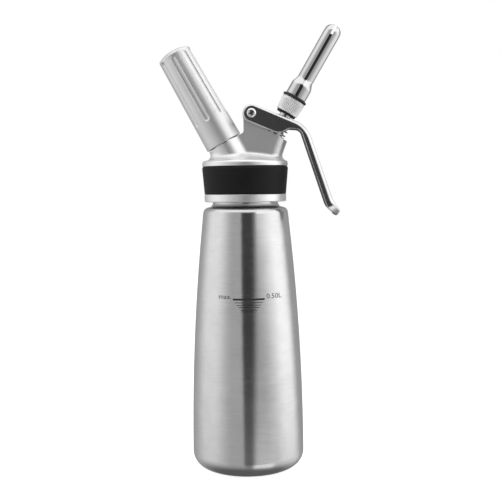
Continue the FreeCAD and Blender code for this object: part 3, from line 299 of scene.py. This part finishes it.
def new_piece(name, shape, made, body, matrix=None):
    """A mesh piece with one material, in the frame's coordinates, that rides on a body."""
    bmesh.ops.recalc_face_normals(shape, faces=shape.faces)
    mesh = bpy.data.meshes.new(name)
    shape.to_mesh(mesh)
    shape.free()
    if matrix is not None:
        mesh.transform(matrix)
    mesh.materials.append(made)
    piece = bpy.data.objects.new(name, mesh)
    scene.collection.objects.link(piece)
    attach(piece, body)
    return piece


FACE_WEIGHT = 100               # how far large faces lead the shading, the most there is


def smooth_between_flats(piece, sharp_from):
    """Smooth shading that leaves flat faces flat and edges over an angle, in degrees, sharp."""
    piece.data.shade_smooth()
    piece.data.set_sharp_from_angle(angle=math.radians(sharp_from))
    weighted = piece.modifiers.new("weighted_normals", "WEIGHTED_NORMAL")
    weighted.keep_sharp = True
    weighted.weight = FACE_WEIGHT


def turns_round(count):
    """That many even turns round a circle, in radians."""
    return [2 * math.pi * j / count for j in range(count)]


def run(start, end, steps):
    """Points from a start up to, but not including, an end."""
    return [tuple(a + (b - a) * i / steps for a, b in zip(start, end)) for i in range(steps)]


def join_rings(shape, low, high):
    """The band of faces between two rings of as many points."""
    for j in range(len(low)):
        k = (j + 1) % len(low)
        shape.faces.new((low[j], low[k], high[k], high[j]))


def turned_shape(profile, count, relief=None):
    """A ring shaped shape turned about +Z from a closed loop of (radius, height) in millimetres.
    relief(turn, height, i) is what point i of the loop stands in from its radius."""
    shape = bmesh.new()
    rings = []
    for i, (radius, height) in enumerate(profile):
        ring = []
        for turn in turns_round(count):
            r = (radius - (relief(turn, height, i) if relief else 0.0)) * MM
            ring.append(shape.verts.new((r * math.cos(turn), r * math.sin(turn), height * MM)))
        rings.append(ring)
    for low, high in zip(rings, rings[1:] + rings[:1]):
        join_rings(shape, low, high)
    return shape


def closed_between(layers, cap=None):
    """A closed shape from loops of points in metres, with a face, or what cap adds, on its two ends."""
    shape = bmesh.new()
    rings = [[shape.verts.new(place) for place in layer] for layer in layers]
    for low, high in zip(rings, rings[1:]):
        join_rings(shape, low, high)
    for ring in (rings[0], rings[-1]):
        if cap:
            cap(shape, ring)
        else:
            shape.faces.new(ring)
    bmesh.ops.recalc_face_normals(shape, faces=shape.faces)
    return shape


SMALLEST_EDGE = 0.000002


def scratch_object(shape):
    mesh = bpy.data.meshes.new("scratch")
    shape.to_mesh(mesh)
    shape.free()
    made = bpy.data.objects.new("scratch", mesh)
    scene.collection.objects.link(made)
    return made


def cut_away(block, tools):
    """A block with tools cut out of it, as a mesh shape of its own."""
    body = scratch_object(block)
    cutters = [scratch_object(tool) for tool in tools]
    for cutter in cutters:
        cut = body.modifiers.new("cut", "BOOLEAN")
        cut.operation = "DIFFERENCE"
        cut.solver = "EXACT"
        cut.object = cutter
    bpy.context.view_layer.update()
    shape = bmesh.new()
    shape.from_object(body, bpy.context.evaluated_depsgraph_get())
    bmesh.ops.dissolve_degenerate(shape, edges=shape.edges, dist=SMALLEST_EDGE)
    for used in [body] + cutters:
        mesh = used.data
        bpy.data.objects.remove(used)
        bpy.data.meshes.remove(mesh)
    return shape


# ---- the knurled adapter and the dark washer under it, which paints the shade in the gap there ---
# heights along the valve's axis and radii out from it, in millimetres
ADAPTER_LOW = 16.6
ADAPTER_HIGH = 27.6
ADAPTER_LOW_RADIUS = 7.75
ADAPTER_HIGH_RADIUS = 8.5
ADAPTER_CHAMFER = 0.4
ADAPTER_NECK_RADIUS = 7.0
ADAPTER_SHARP = 40              # degrees
STUB_LOW = 29.3
STUB_START = 29.6
STUB_HIGH = 37.5
STUB_RADIUS = 5.0
STUB_RINGS = 60
STEM_SOCKET = 4.02
STEM_TOP = 24.02
PASSAGE = 3.2
KNURL_RIDGES = 36
KNURL_DEPTH = 0.30
KNURL_RINGS = 8
KNURL_COLUMNS = 10              # for each ridge
# the near-black washer under the adapter is painted shade: it stands in for the shadow in the gap there
SHADE_WASHER_HEIGHT = 0.6             # from ADAPTER_LOW up to the adapter's foot
SHADE_WASHER_DROP = 0.8               # from ADAPTER_LOW down to the washer's underside
SHADE_WASHER_RADIUS = 7.0
SHADE_WASHER_COLUMNS = 96
THREAD_START = 1.3
THREAD_LENGTH = 4.6
THREAD_PITCH = 2.0
THREAD_DEPTH = 0.6
THREAD_CREST = 0.25
THREAD_SLOPE = 3.6
KNURL_FOOT = ADAPTER_LOW + SHADE_WASHER_HEIGHT


def thread_rise(turn, height):
    """How far the stub's thread stands out, at a turn round the stub and a height."""
    turns = turn / (2 * math.pi)
    along = (height - STUB_START - THREAD_START) / THREAD_PITCH - turns
    nearest = round(along)
    if not 0 <= turns + nearest <= THREAD_LENGTH / THREAD_PITCH:
        return 0.0
    beside = abs(along - nearest) * THREAD_PITCH
    return max(0.0, min(THREAD_DEPTH, THREAD_DEPTH - (beside - THREAD_CREST) * THREAD_SLOPE))


def make_adapter():
    """Knurled grip under the nozzle, with its neck and the threaded stub that the nozzle turns on."""
    knurl_low = (ADAPTER_LOW_RADIUS, KNURL_FOOT + ADAPTER_CHAMFER)
    knurl_high = (ADAPTER_HIGH_RADIUS, ADAPTER_HIGH - ADAPTER_CHAMFER)
    profile = [(STEM_SOCKET, KNURL_FOOT), (ADAPTER_LOW_RADIUS - ADAPTER_CHAMFER, KNURL_FOOT)]
    knurl_first = len(profile)
    profile += run(knurl_low, knurl_high, KNURL_RINGS)
    knurl_last = len(profile)
    profile += [knurl_high, (ADAPTER_HIGH_RADIUS - ADAPTER_CHAMFER, ADAPTER_HIGH)]
    profile += [(ADAPTER_NECK_RADIUS, ADAPTER_HIGH), (ADAPTER_NECK_RADIUS, STUB_LOW)]
    stub_first = len(profile)
    profile += run((STUB_RADIUS, STUB_LOW), (STUB_RADIUS, STUB_HIGH), STUB_RINGS)
    stub_last = len(profile)
    profile += [(STUB_RADIUS, STUB_HIGH), (PASSAGE, STUB_HIGH), (PASSAGE, STEM_TOP), (STEM_SOCKET, STEM_TOP)]

    def relief(turn, height, i):
        if knurl_first < i < knurl_last:
            ridge = abs((turn * KNURL_RIDGES / (2 * math.pi)) % 1 - 0.5) * 2
            return KNURL_DEPTH * ridge ** 2
        if stub_first <= i < stub_last:
            return -thread_rise(turn, height)
        return 0.0

    made = metal("knurled_aluminium", 0.90, 0.42, **ON_VALVE, turned=False, line_tone=0.02)
    shape = turned_shape(profile, KNURL_RIDGES * KNURL_COLUMNS, relief)
    piece = new_piece("knurled_adapter", shape, made, "stem",
                      place_on(VALVE_POINT, VALVE_AXIS))
    smooth_between_flats(piece, ADAPTER_SHARP)
    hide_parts("nozzle_adapter")


def make_shade_washer():
    """Dark washer that the adapter stands on, near black as painted shade for the gap between the adapter and
    the lever.
    """
    edge = ADAPTER_CHAMFER / 2
    low = ADAPTER_LOW - SHADE_WASHER_DROP
    shape = turned_shape([
        (STEM_SOCKET, low), (SHADE_WASHER_RADIUS - edge, low), (SHADE_WASHER_RADIUS, low + edge),
        (SHADE_WASHER_RADIUS, KNURL_FOOT), (STEM_SOCKET, KNURL_FOOT),
    ], SHADE_WASHER_COLUMNS)
    # near-black rubber tone, as painted shade in the gap under the adapter
    new_piece("adapter_shade_washer", shape, rubber("shade_washer_rubber", 0.006, 0.5, 0.3), "stem",
              place_on(VALVE_POINT, VALVE_AXIS))


# ---- the lever ------------------------------------------------------------------------------
# in millimetres; corners are (right of the pivot, above it, arc radius, edge rounding)
LEVER_TILT = math.radians(21.7)
LEVER_ROUND = 6.05
LEVER_DROP = 6.4
LEVER_GAUGE = 1.5
LEVER_HALF = 9.8
LEVER_TAB_START = 1.8
LEVER_TAB_LENGTH = 14.0
LEVER_TAB_POWER = 1.5
LEVER_ARCH = (
    (16.43, -13.45, 8.0, 0.7), (21.43, -13.65, 6.0, 0.7), (25.73, -10.95, 5.0, 0.7),
    (33.93, -11.55, 4.5, 0.4),
)
LEVER_ARM_INSIDE = ((51.53, -64.65, 12.0, 0.35), (58.43, -72.35, 1.8, 0.9))
LEVER_ARM_OUTSIDE = ((61.33, -68.25, 1.8, 0.9), (55.73, -60.05, 12.0, 2.9), (38.33, -8.75, 20.0, 2.8))
LEVER_TOP_EDGE = 1.6
LEVER_HEEL_EDGE = 1.3
LEVER_HEEL_GAP = -2.65
LEVER_SLOT_RADIUS = 4.3
LEVER_SLOT_TRAVEL = 1.6
LEVER_SLOT_LOW = 8.95
LEVER_SLOT_HIGH = 17.0
LEVER_SHARP = 35                # degrees
PIVOT_BORE = 2.65
ARC_STEP = 0.6                  # between points on an arc
STRAIGHT_STEP = 1.2             # between points on a straight
EDGE_STEPS = 9                  # over a rounded edge
TAB_HOLLOW_START = -2.5         # from the start of the tab
TAB_HOLLOW_STEP = 0.5
TAB_HOLLOW_POINTS = 19
BORE_POINTS = 48
BEYOND = 40.0                   # how far a cutting tool runs past the lever
HEEL_GAP_WIDE = 2 * LEVER_ROUND
HEEL_GAP_DEEP = 3 * LEVER_ROUND
FLARE = Vector(LEVER_ARM_OUTSIDE[1][:2])
TAB_WAY = (Vector(LEVER_ARM_OUTSIDE[0][:2]) - FLARE).normalized()
TAB_INSIDE = Vector((TAB_WAY.y, -TAB_WAY.x))


def from_pivot(x, y, z):
    return PIVOT_POINT + Vector((x, y, z)) * MM


def across_lever(outline, half):
    """A closed shape from an outline (right of the pivot, above it), that far to both sides."""
    return closed_between([[from_pivot(x, y, z) for x, z in outline] for y in (-half, half)])


def along_lever(along, over):
    """(right of the pivot, above it) of a point given along the lever's top and over the pivot."""
    return (along * math.cos(LEVER_TILT) + over * math.sin(LEVER_TILT),
            -along * math.sin(LEVER_TILT) + over * math.cos(LEVER_TILT))


def along_tab(x, z):
    """How far a point is past the start of the tab at the lever's end."""
    return (Vector((x, z)) - FLARE).dot(TAB_WAY) - LEVER_TAB_START


def half_at(along):
    """Half of the lever's width, which rounds off along the tab."""
    return LEVER_HALF * (1 - (max(0.0, along) / LEVER_TAB_LENGTH) ** LEVER_TAB_POWER)


def rounded_loop(corners, straight_step):
    """Points (x, z, rounding) round a closed loop of corners (x, z, arc radius, rounding)."""
    arcs = []
    for i, (x, z, radius, edge) in enumerate(corners):
        corner = Vector((x, z))
        to_before = (Vector(corners[i - 1][:2]) - corner).normalized()
        to_after = (Vector(corners[(i + 1) % len(corners)][:2]) - corner).normalized()
        if not radius:
            arcs.append([(x, z, edge)])
            continue
        half = to_before.angle(to_after) / 2
        centre = corner + (to_before + to_after).normalized() * radius / math.sin(half)
        start = corner + to_before * radius / math.tan(half)
        sweep = math.pi - 2 * half
        if to_before.x * to_after.y - to_before.y * to_after.x > 0:
            sweep = -sweep
        steps = max(1, math.ceil(radius * abs(sweep) / ARC_STEP))
        arcs.append([(*(centre + Matrix.Rotation(sweep * k / steps, 2) @ (start - centre)), edge)
                     for k in range(steps + 1)])
    points = []
    for arc, following in zip(arcs, arcs[1:] + arcs[:1]):
        length = math.dist(arc[-1][:2], following[0][:2])
        points += arc[:-1] + run(arc[-1], following[0], max(1, math.ceil(length / straight_step)))
    return points


def inward(points):
    """The step into a loop that runs anticlockwise, at each of its points, for an inset of 1."""
    sides = []
    for here, after in zip(points, points[1:] + points[:1]):
        way = Vector((after[0] - here[0], after[1] - here[1])).normalized()
        sides.append(Vector((-way.y, way.x)))
    return [(before + after) / (1 + before.dot(after))
            for before, after in zip(sides[-1:] + sides[:-1], sides)]


def lever_block():
    """The lever as a full block, its edges rounded as far as each corner says."""
    heel_low = (*along_lever(-LEVER_ROUND, -LEVER_DROP), LEVER_ROUND, LEVER_HEEL_EDGE)
    heel_high = (*along_lever(-LEVER_ROUND, LEVER_ROUND), LEVER_ROUND, LEVER_TOP_EDGE)
    points = rounded_loop((heel_low, *LEVER_ARCH, *LEVER_ARM_INSIDE, *LEVER_ARM_OUTSIDE, heel_high),
                          STRAIGHT_STEP)
    ways = inward(points)
    past = [along_tab(x, z) for x, z, _ in points]

    def side_faces(shape, ring):
        """The flat cheek as one face, and the tab's side as a strip across it."""
        tab = [i for i, along in enumerate(past) if along >= 0]
        first, last = tab[0], tab[-1]
        shape.faces.new(ring[:first + 1] + ring[last:])
        while last - first > 2:
            if past[first + 1] < past[last - 1]:
                shape.faces.new((ring[first], ring[first + 1], ring[last]))
                first += 1
            else:
                shape.faces.new((ring[first], ring[last - 1], ring[last]))
                last -= 1
        shape.faces.new((ring[first], ring[first + 1], ring[last]))

    layers = []
    for side in (-1, 1):
        for k in range(EDGE_STEPS + 1)[::-side]:
            turn = math.pi / 2 * k / EDGE_STEPS
            layer = []
            for (x, z, edge), way in zip(points, ways):
                into = edge * (1 - math.sin(turn))
                place = (x + way[0] * into, z + way[1] * into)
                out = half_at(along_tab(*place)) - edge * (1 - math.cos(turn))
                layer.append(from_pivot(place[0], side * out, place[1]))
            layers.append(layer)
    return closed_between(layers, side_faces)


def lever_channel():
    """What is hollow between the cheeks, open towards the bottle, as far as the tab."""
    heel_high = (*along_lever(-LEVER_ROUND, LEVER_ROUND), LEVER_ROUND, 0)
    heel_low = (*along_lever(-LEVER_ROUND, -BEYOND), 0, 0)
    end = FLARE + TAB_WAY * (LEVER_TAB_START + LEVER_GAUGE)
    below = end + TAB_INSIDE * BEYOND
    corners = (heel_low, (*below, 0, 0), (*end, 0, 0), *LEVER_ARM_OUTSIDE[1:], heel_high)
    points = rounded_loop(corners, math.inf)
    inset = [(x + way[0] * LEVER_GAUGE, z + way[1] * LEVER_GAUGE)
             for (x, z, _), way in zip(points, inward(points))]
    return across_lever(inset, LEVER_HALF - LEVER_GAUGE)


def tab_channel():
    """What is hollow behind the tab, short of its end."""
    outline = []
    for side in (-1, 1):
        for k in range(TAB_HOLLOW_POINTS)[::-side]:
            along = TAB_HOLLOW_START + TAB_HOLLOW_STEP * k
            outline.append((along, side * (half_at(along) - LEVER_GAUGE)))
    layers = []
    for into in (LEVER_GAUGE, BEYOND):
        start = FLARE + TAB_INSIDE * into
        layer = []
        for along, y in outline:
            place = start + TAB_WAY * (along + LEVER_TAB_START)
            layer.append(from_pivot(place.x, y, place.y))
        layers.append(layer)
    return closed_between(layers)


def heel_gap():
    """The wall that wraps the heel ends here, so that the lever can turn over the fin."""
    corners = ((-HEEL_GAP_WIDE, -HEEL_GAP_DEEP), (0, -HEEL_GAP_DEEP), (0, LEVER_HEEL_GAP),
               (-HEEL_GAP_WIDE, LEVER_HEEL_GAP))
    return across_lever(corners, LEVER_HALF - LEVER_GAUGE)


def stem_slot():
    """A slot through the lever's top along the valve's axis, longer than round towards the heel."""
    outline = []
    for turn in turns_round(BORE_POINTS):
        back = LEVER_SLOT_TRAVEL if math.cos(turn) < 0 else 0.0
        outline.append((LEVER_SLOT_RADIUS * math.cos(turn) - back, LEVER_SLOT_RADIUS * math.sin(turn)))
    on_valve = place_on(VALVE_POINT, VALVE_AXIS)
    return closed_between([[on_valve @ Vector((x * MM, y * MM, z * MM)) for x, y in outline]
                           for z in (LEVER_SLOT_LOW, LEVER_SLOT_HIGH)])


def pivot_bore():
    """A round hole through both cheeks, on the pivot."""
    circle = [(PIVOT_BORE * math.cos(turn), PIVOT_BORE * math.sin(turn)) for turn in turns_round(BORE_POINTS)]
    return across_lever(circle, 2 * LEVER_HALF)


def make_lever():
    """Channel shaped lever with softly rolled edges, wrapped round its heel, with a rounded tab."""
    tools = (lever_channel(), tab_channel(), heel_gap(), stem_slot(), pivot_bore())
    shape = cut_away(lever_block(), tools)
    made = metal("lever_steel", 0.72, 0.21, turned=False, line_tone=0.008, line_rough=0.005, cloud=0.02,
                 cloud_scale=120.0)
    piece = new_piece("lever_shell", shape, made, "lever")
    smooth_between_flats(piece, LEVER_SHARP)
    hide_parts("lever")


# ---- the pivot screw ------------------------------------------------------------------------
# out from the pivot along its own axis, in millimetres
SCREW_SEAT = 9.85
SCREW_END = -3.15
SCREW_RADIUS = 1.6
SCREW_CHAMFER = 0.3
SCREW_HEAD_RADIUS = 3.2
SCREW_RIM_HEIGHT = 0.3
SCREW_DOME_HEIGHT = 1.2
SCREW_DOME_STEP = 9             # degrees between its rings
SCREW_DOME_RINGS = 10
SCREW_POINTS = 64
SCREW_SHARP = 35                # degrees
CROSS_HALF = 0.5
CROSS_REACH = 2.1
CROSS_FLOOR = 10.4
CROSS_TURNS = (math.radians(22), math.radians(112))


def make_screw():
    """Domed pivot screw with a cross recess, its head on the front cheek."""
    rim = SCREW_SEAT + SCREW_RIM_HEIGHT
    profile = [(SCREW_RADIUS - SCREW_CHAMFER, SCREW_END), (SCREW_RADIUS, SCREW_END + SCREW_CHAMFER),
               (SCREW_RADIUS, SCREW_SEAT), (SCREW_HEAD_RADIUS, SCREW_SEAT)]
    for k in range(SCREW_DOME_RINGS):
        rise = math.radians(SCREW_DOME_STEP * k)
        profile.append((SCREW_HEAD_RADIUS * math.cos(rise), rim + SCREW_DOME_HEIGHT * math.sin(rise)))
    layers = [[Vector((radius * math.cos(turn), radius * math.sin(turn), height)) * MM
               for turn in turns_round(SCREW_POINTS)] for radius, height in profile]
    corners = ((-CROSS_REACH, -CROSS_HALF), (CROSS_REACH, -CROSS_HALF), (CROSS_REACH, CROSS_HALF),
               (-CROSS_REACH, CROSS_HALF))
    tools = []
    for turn in CROSS_TURNS:
        arm = Matrix.Rotation(turn, 3, "Z")
        tools.append(closed_between([[arm @ Vector((x, y, z)) * MM for x, y in corners]
                                     for z in (CROSS_FLOOR, 2 * CROSS_FLOOR)]))
    shape = cut_away(closed_between(layers), tools)
    made = metal("screw_steel", 0.80, 0.16, point=PIVOT_POINT, turned=False, line_tone=0.02)
    facing = Matrix.Translation(PIVOT_POINT) @ Matrix.Rotation(math.pi / 2, 4, "X")
    piece = new_piece("pivot_screw", shape, made, "head", facing)
    smooth_between_flats(piece, SCREW_SHARP)
    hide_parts("lever_pivot_screw")


# ---- the fill mark on the bottle's front, in millimetres ------------------------------------
# (left, right, height, thickness)
MARK_BARS = (
    (-9.15, 12.25, 122.9, 1.25), (-7.9, 11.0, 120.75, 0.42), (-6.8, 9.7, 119.0, 0.42),
    (-5.4, 8.6, 117.5, 0.42), (-3.95, 7.1, 115.7, 0.42),
)
# (words, left end, foot of the letters, height of a capital)
MARK_WORDS = (("max.", -18.9, 123.1, 3.3), ("0.50L", 13.4, 123.1, 3.3))
MARK_LIFT = 0.04
MARK_STEP = 0.6
CAPITAL_SHARE = 0.7             # of the font's size
LETTER_CURVE_STEPS = 3
IN_FRONT = -1000.0              # where the rays onto the bottle start


def onto_bottle(bottle, x, z):
    """The point on the bottle's front, a little proud of it, at that x and z in millimetres."""
    place, normal, _, _ = bottle.ray_cast(Vector((x, IN_FRONT, z)) * MM, Vector((0, 1, 0)))
    return place + normal * MARK_LIFT * MM


def mark_letters(words, capital):
    """Flat letters as a mesh, from their left end and foot, in millimetres."""
    text = bpy.data.curves.new("words", "FONT")
    text.body = words
    text.size = capital / CAPITAL_SHARE
    text.resolution_u = LETTER_CURVE_STEPS
    writer = bpy.data.objects.new("words", text)
    scene.collection.objects.link(writer)
    letters = bpy.data.meshes.new_from_object(writer)
    bpy.data.objects.remove(writer)
    return letters


def make_fill_mark():
    """Printed level lines and the generic words beside them, on the bottle's front."""
    bottle = BVHTree.FromObject(nodes["bottle"], bpy.context.evaluated_depsgraph_get())
    shape = bmesh.new()
    for left, right, height, thickness in MARK_BARS:
        count = math.ceil((right - left) / MARK_STEP)
        rows = []
        for up in (-thickness / 2, 0, thickness / 2):
            rows.append([shape.verts.new(onto_bottle(bottle, left + (right - left) * i / count, height + up))
                         for i in range(count + 1)])
        for low, high in zip(rows, rows[1:]):
            for i in range(count):
                shape.faces.new((low[i], low[i + 1], high[i + 1], high[i]))
    for words, left, foot, capital in MARK_WORDS:
        letters = mark_letters(words, capital)
        first = len(shape.verts)
        shape.from_mesh(letters)
        bpy.data.meshes.remove(letters)
        shape.verts.ensure_lookup_table()
        for vert in shape.verts[first:]:
            vert.co = onto_bottle(bottle, left + vert.co.x, foot + vert.co.y)
    new_piece("fill_mark", shape, ink("mark_ink"), "bottle")


# ---- camera, in metres, where the photograph was taken from ----------------------------------
CAMERA_PLACE = (0.003109, -0.630, 0.202322)
CAMERA_PITCH = math.radians(4.4675)     # down from level
CAMERA_ROLL = math.radians(-0.6951)
CAMERA_LENS = 64.507
CAMERA_SENSOR = 36
CAMERA_SHIFT = (-0.001, 0.001)
CAMERA_CLIP = (0.02, 20)


def make_camera():
    data = bpy.data.cameras.new("camera")
    data.lens = CAMERA_LENS
    data.sensor_width = CAMERA_SENSOR
    data.shift_x, data.shift_y = CAMERA_SHIFT
    data.clip_start, data.clip_end = CAMERA_CLIP
    camera = bpy.data.objects.new("camera", data)
    forward = Vector((0, math.cos(CAMERA_PITCH), -math.sin(CAMERA_PITCH)))
    right = Vector((1, 0, 0))
    up = Vector((0, math.sin(CAMERA_PITCH), math.cos(CAMERA_PITCH)))
    rolled_right = math.cos(CAMERA_ROLL) * right + math.sin(CAMERA_ROLL) * up
    rolled_up = -math.sin(CAMERA_ROLL) * right + math.cos(CAMERA_ROLL) * up
    turn = Matrix((rolled_right, rolled_up, -forward)).transposed()
    camera.matrix_world = Matrix.Translation(CAMERA_PLACE) @ turn.to_4x4()
    scene.collection.objects.link(camera)
    scene.camera = camera


# ---- studio, in metres ----------------------------------------------------------------------
MIDDLE = (0, 0, 0.15)           # of the object, which the lamps face and the wall surrounds
WORLD_LIGHT = 0.45              # on the object; the background itself is 1, which shows as white
FLOOR_HALF = 4.0
FLOOR_TONE = 0.85
FLOOR_GLOW = 0.75               # only for the rays that see the background
WALL_RADIUS = 2.0
WALL_SEGMENTS = 96
WALL_RINGS = 48
# (name, place, size, power in watts)
LAMPS = (
    ("key", (0.9, -0.9, 1.1), (0.8, 0.8), 9.0),
    ("fill", (-1.0, -0.8, 0.8), (0.9, 0.9), 5.0),
)
# Walls, soft boxes and flags that the metal mirrors, drawn one over the other on a round wall.
# Angles are in degrees as seen from the object: sideways from the camera (+ to its right) and
# up from level. A left or right edge is (place, softness, lean) and moves sideways by `lean`
# for each degree up. A low or high edge is (place, softness), or None where the panel runs on.
# (name, left edge, right edge, low edge, high edge, tone from 0 to 255)
PANELS = (
    ("left_wall", (-150, 40, 0), (60, 20, 0), None, None, 155),
    ("left_box", (-117, 44, 0), (-53, 44, 0), (-22, 44), None, 217),
    ("right_wall", (5, 10, 0), (150, 40, 0), None, None, 146),
    ("right_box", (53, 56, -0.7), (109, 30, -0.6), (-26, 40), (32, 16), 246),
    ("right_floor", (64, 70, 0), (130, 30, 0), (-60, 20), (-20, 16), 190),
    ("arm_card", (28, 14, 0), (128, 16, 0), (14, 8), (44, 14), 250),
    ("flag", (-10.2, 3, -0.10), (20.0, 15, 0.30), (-30, 52), (34, 12), 40),
    ("ceiling", (-200, 10, 0), (200, 10, 0), (44, 18), None, 240),
    ("floor", (-200, 10, 0), (200, 10, 0), None, (-44, 30), 84),
    ("low_card", (12, 12, 0), (58, 16, 0), (-46, 12), (-24, 8), 225),
)
ROOM_TONE = 128                 # between the panels


def bright(display):
    """How strongly the studio wall shines for the bottle's steel to show an 8 bit sRGB tone."""
    c = display / 255
    linear = c / 12.92 if c <= 0.04045 else ((c + 0.055) / 1.055) ** 2.4
    return linear / BOTTLE_TONE


def seen_by_background_rays(tree):
    """1 for camera, glossy and transmission rays, and 0 for the rays that light the object."""
    path = tree.add("ShaderNodeLightPath").outputs
    seen = tree.math("MAXIMUM", path["Is Camera Ray"], path["Is Glossy Ray"])
    return tree.math("MAXIMUM", seen, path["Is Transmission Ray"])


def stage_object(name, shape):
    """An object and its node tree, for the studio."""
    mesh = bpy.data.meshes.new(name)
    shape.to_mesh(mesh)
    shape.free()
    made, tree = material(name)
    mesh.materials.append(made)
    staged = bpy.data.objects.new(name, mesh)
    scene.collection.objects.link(staged)
    return staged, tree


def make_world():
    world = bpy.data.worlds.new("world")
    world.use_nodes = True
    scene.world = world
    tree = Tree(world.node_tree)
    strength = tree.span(seen_by_background_rays(tree), 0.0, 1.0, WORLD_LIGHT, 1.0)
    background = tree.add("ShaderNodeBackground", inputs={"Color": (1, 1, 1, 1), "Strength": strength})
    tree.finish("ShaderNodeOutputWorld", background)


def make_floor():
    """Pale floor that keeps the object's shadow and shows as white where it is bare."""
    shape = bmesh.new()
    corners = ((-1, -1), (1, -1), (1, 1), (-1, 1))
    shape.faces.new([shape.verts.new((x * FLOOR_HALF, y * FLOOR_HALF, 0)) for x, y in corners])
    floor, tree = stage_object("floor", shape)
    pale = tree.add("ShaderNodeBsdfDiffuse", inputs={"Color": (FLOOR_TONE, FLOOR_TONE, FLOOR_TONE, 1)})
    shine = tree.span(seen_by_background_rays(tree), 0.0, 1.0, 0.0, FLOOR_GLOW)
    glow = tree.add("ShaderNodeEmission", inputs={"Strength": shine})
    both = tree.add("ShaderNodeAddShader")
    tree.put(both.inputs[0], pale.outputs[0])
    tree.put(both.inputs[1], glow.outputs[0])
    tree.finish("ShaderNodeOutputMaterial", both)
    floor.visible_glossy = False


def make_surround():
    """A studio wall that only reflections see, with the panels drawn on it."""
    shape = bmesh.new()
    bmesh.ops.create_uvsphere(shape, u_segments=WALL_SEGMENTS, v_segments=WALL_RINGS, radius=WALL_RADIUS)
    wall, tree = stage_object("surround", shape)
    wall.location = MIDDLE
    where = tree.vector("NORMALIZE", tree.add("ShaderNodeTexCoord").outputs["Object"])
    x, y, z = separate(tree, where)
    sideways = tree.math("DEGREES", tree.math("ARCTAN2", x, tree.math("MULTIPLY", y, -1.0)))
    up = tree.math("DEGREES", tree.math("ARCSINE", z))
    tone = bright(ROOM_TONE)
    for _, left, right, low, high, display in PANELS:
        past_left, past_right = [
            tree.step(tree.math("SUBTRACT", sideways, tree.math("MULTIPLY", up, lean)), place, soft)
            for place, soft, lean in (left, right)
        ]
        share = tree.math("SUBTRACT", past_left, past_right)
        if low:
            share = tree.math("MULTIPLY", share, tree.step(up, *low))
        if high:
            share = tree.math("MULTIPLY", share, tree.math("SUBTRACT", 1.0, tree.step(up, *high)))
        tone = tree.span(share, 0.0, 1.0, tone, bright(display))
    glow = tree.add("ShaderNodeEmission", inputs={"Strength": tone})
    tree.finish("ShaderNodeOutputMaterial", glow)
    wall.visible_camera = False
    wall.visible_diffuse = False
    wall.visible_shadow = False
    wall.visible_transmission = False


def make_lamp(name, place, size, power):
    data = bpy.data.lights.new(name, "AREA")
    data.shape = "RECTANGLE"
    data.size, data.size_y = size
    data.energy = power
    lamp = bpy.data.objects.new(name, data)
    lamp.location = place
    lamp.rotation_euler = (Vector(MIDDLE) - Vector(place)).to_track_quat("-Z", "Y").to_euler()
    lamp.visible_glossy = False
    scene.collection.objects.link(lamp)


dress_nodes()
make_adapter()
make_shade_washer()
make_lever()
make_screw()
make_fill_mark()
make_camera()
make_world()
make_floor()
make_surround()
for lamp_values in LAMPS:
    make_lamp(*lamp_values)

scene.view_settings.view_transform = "Standard"
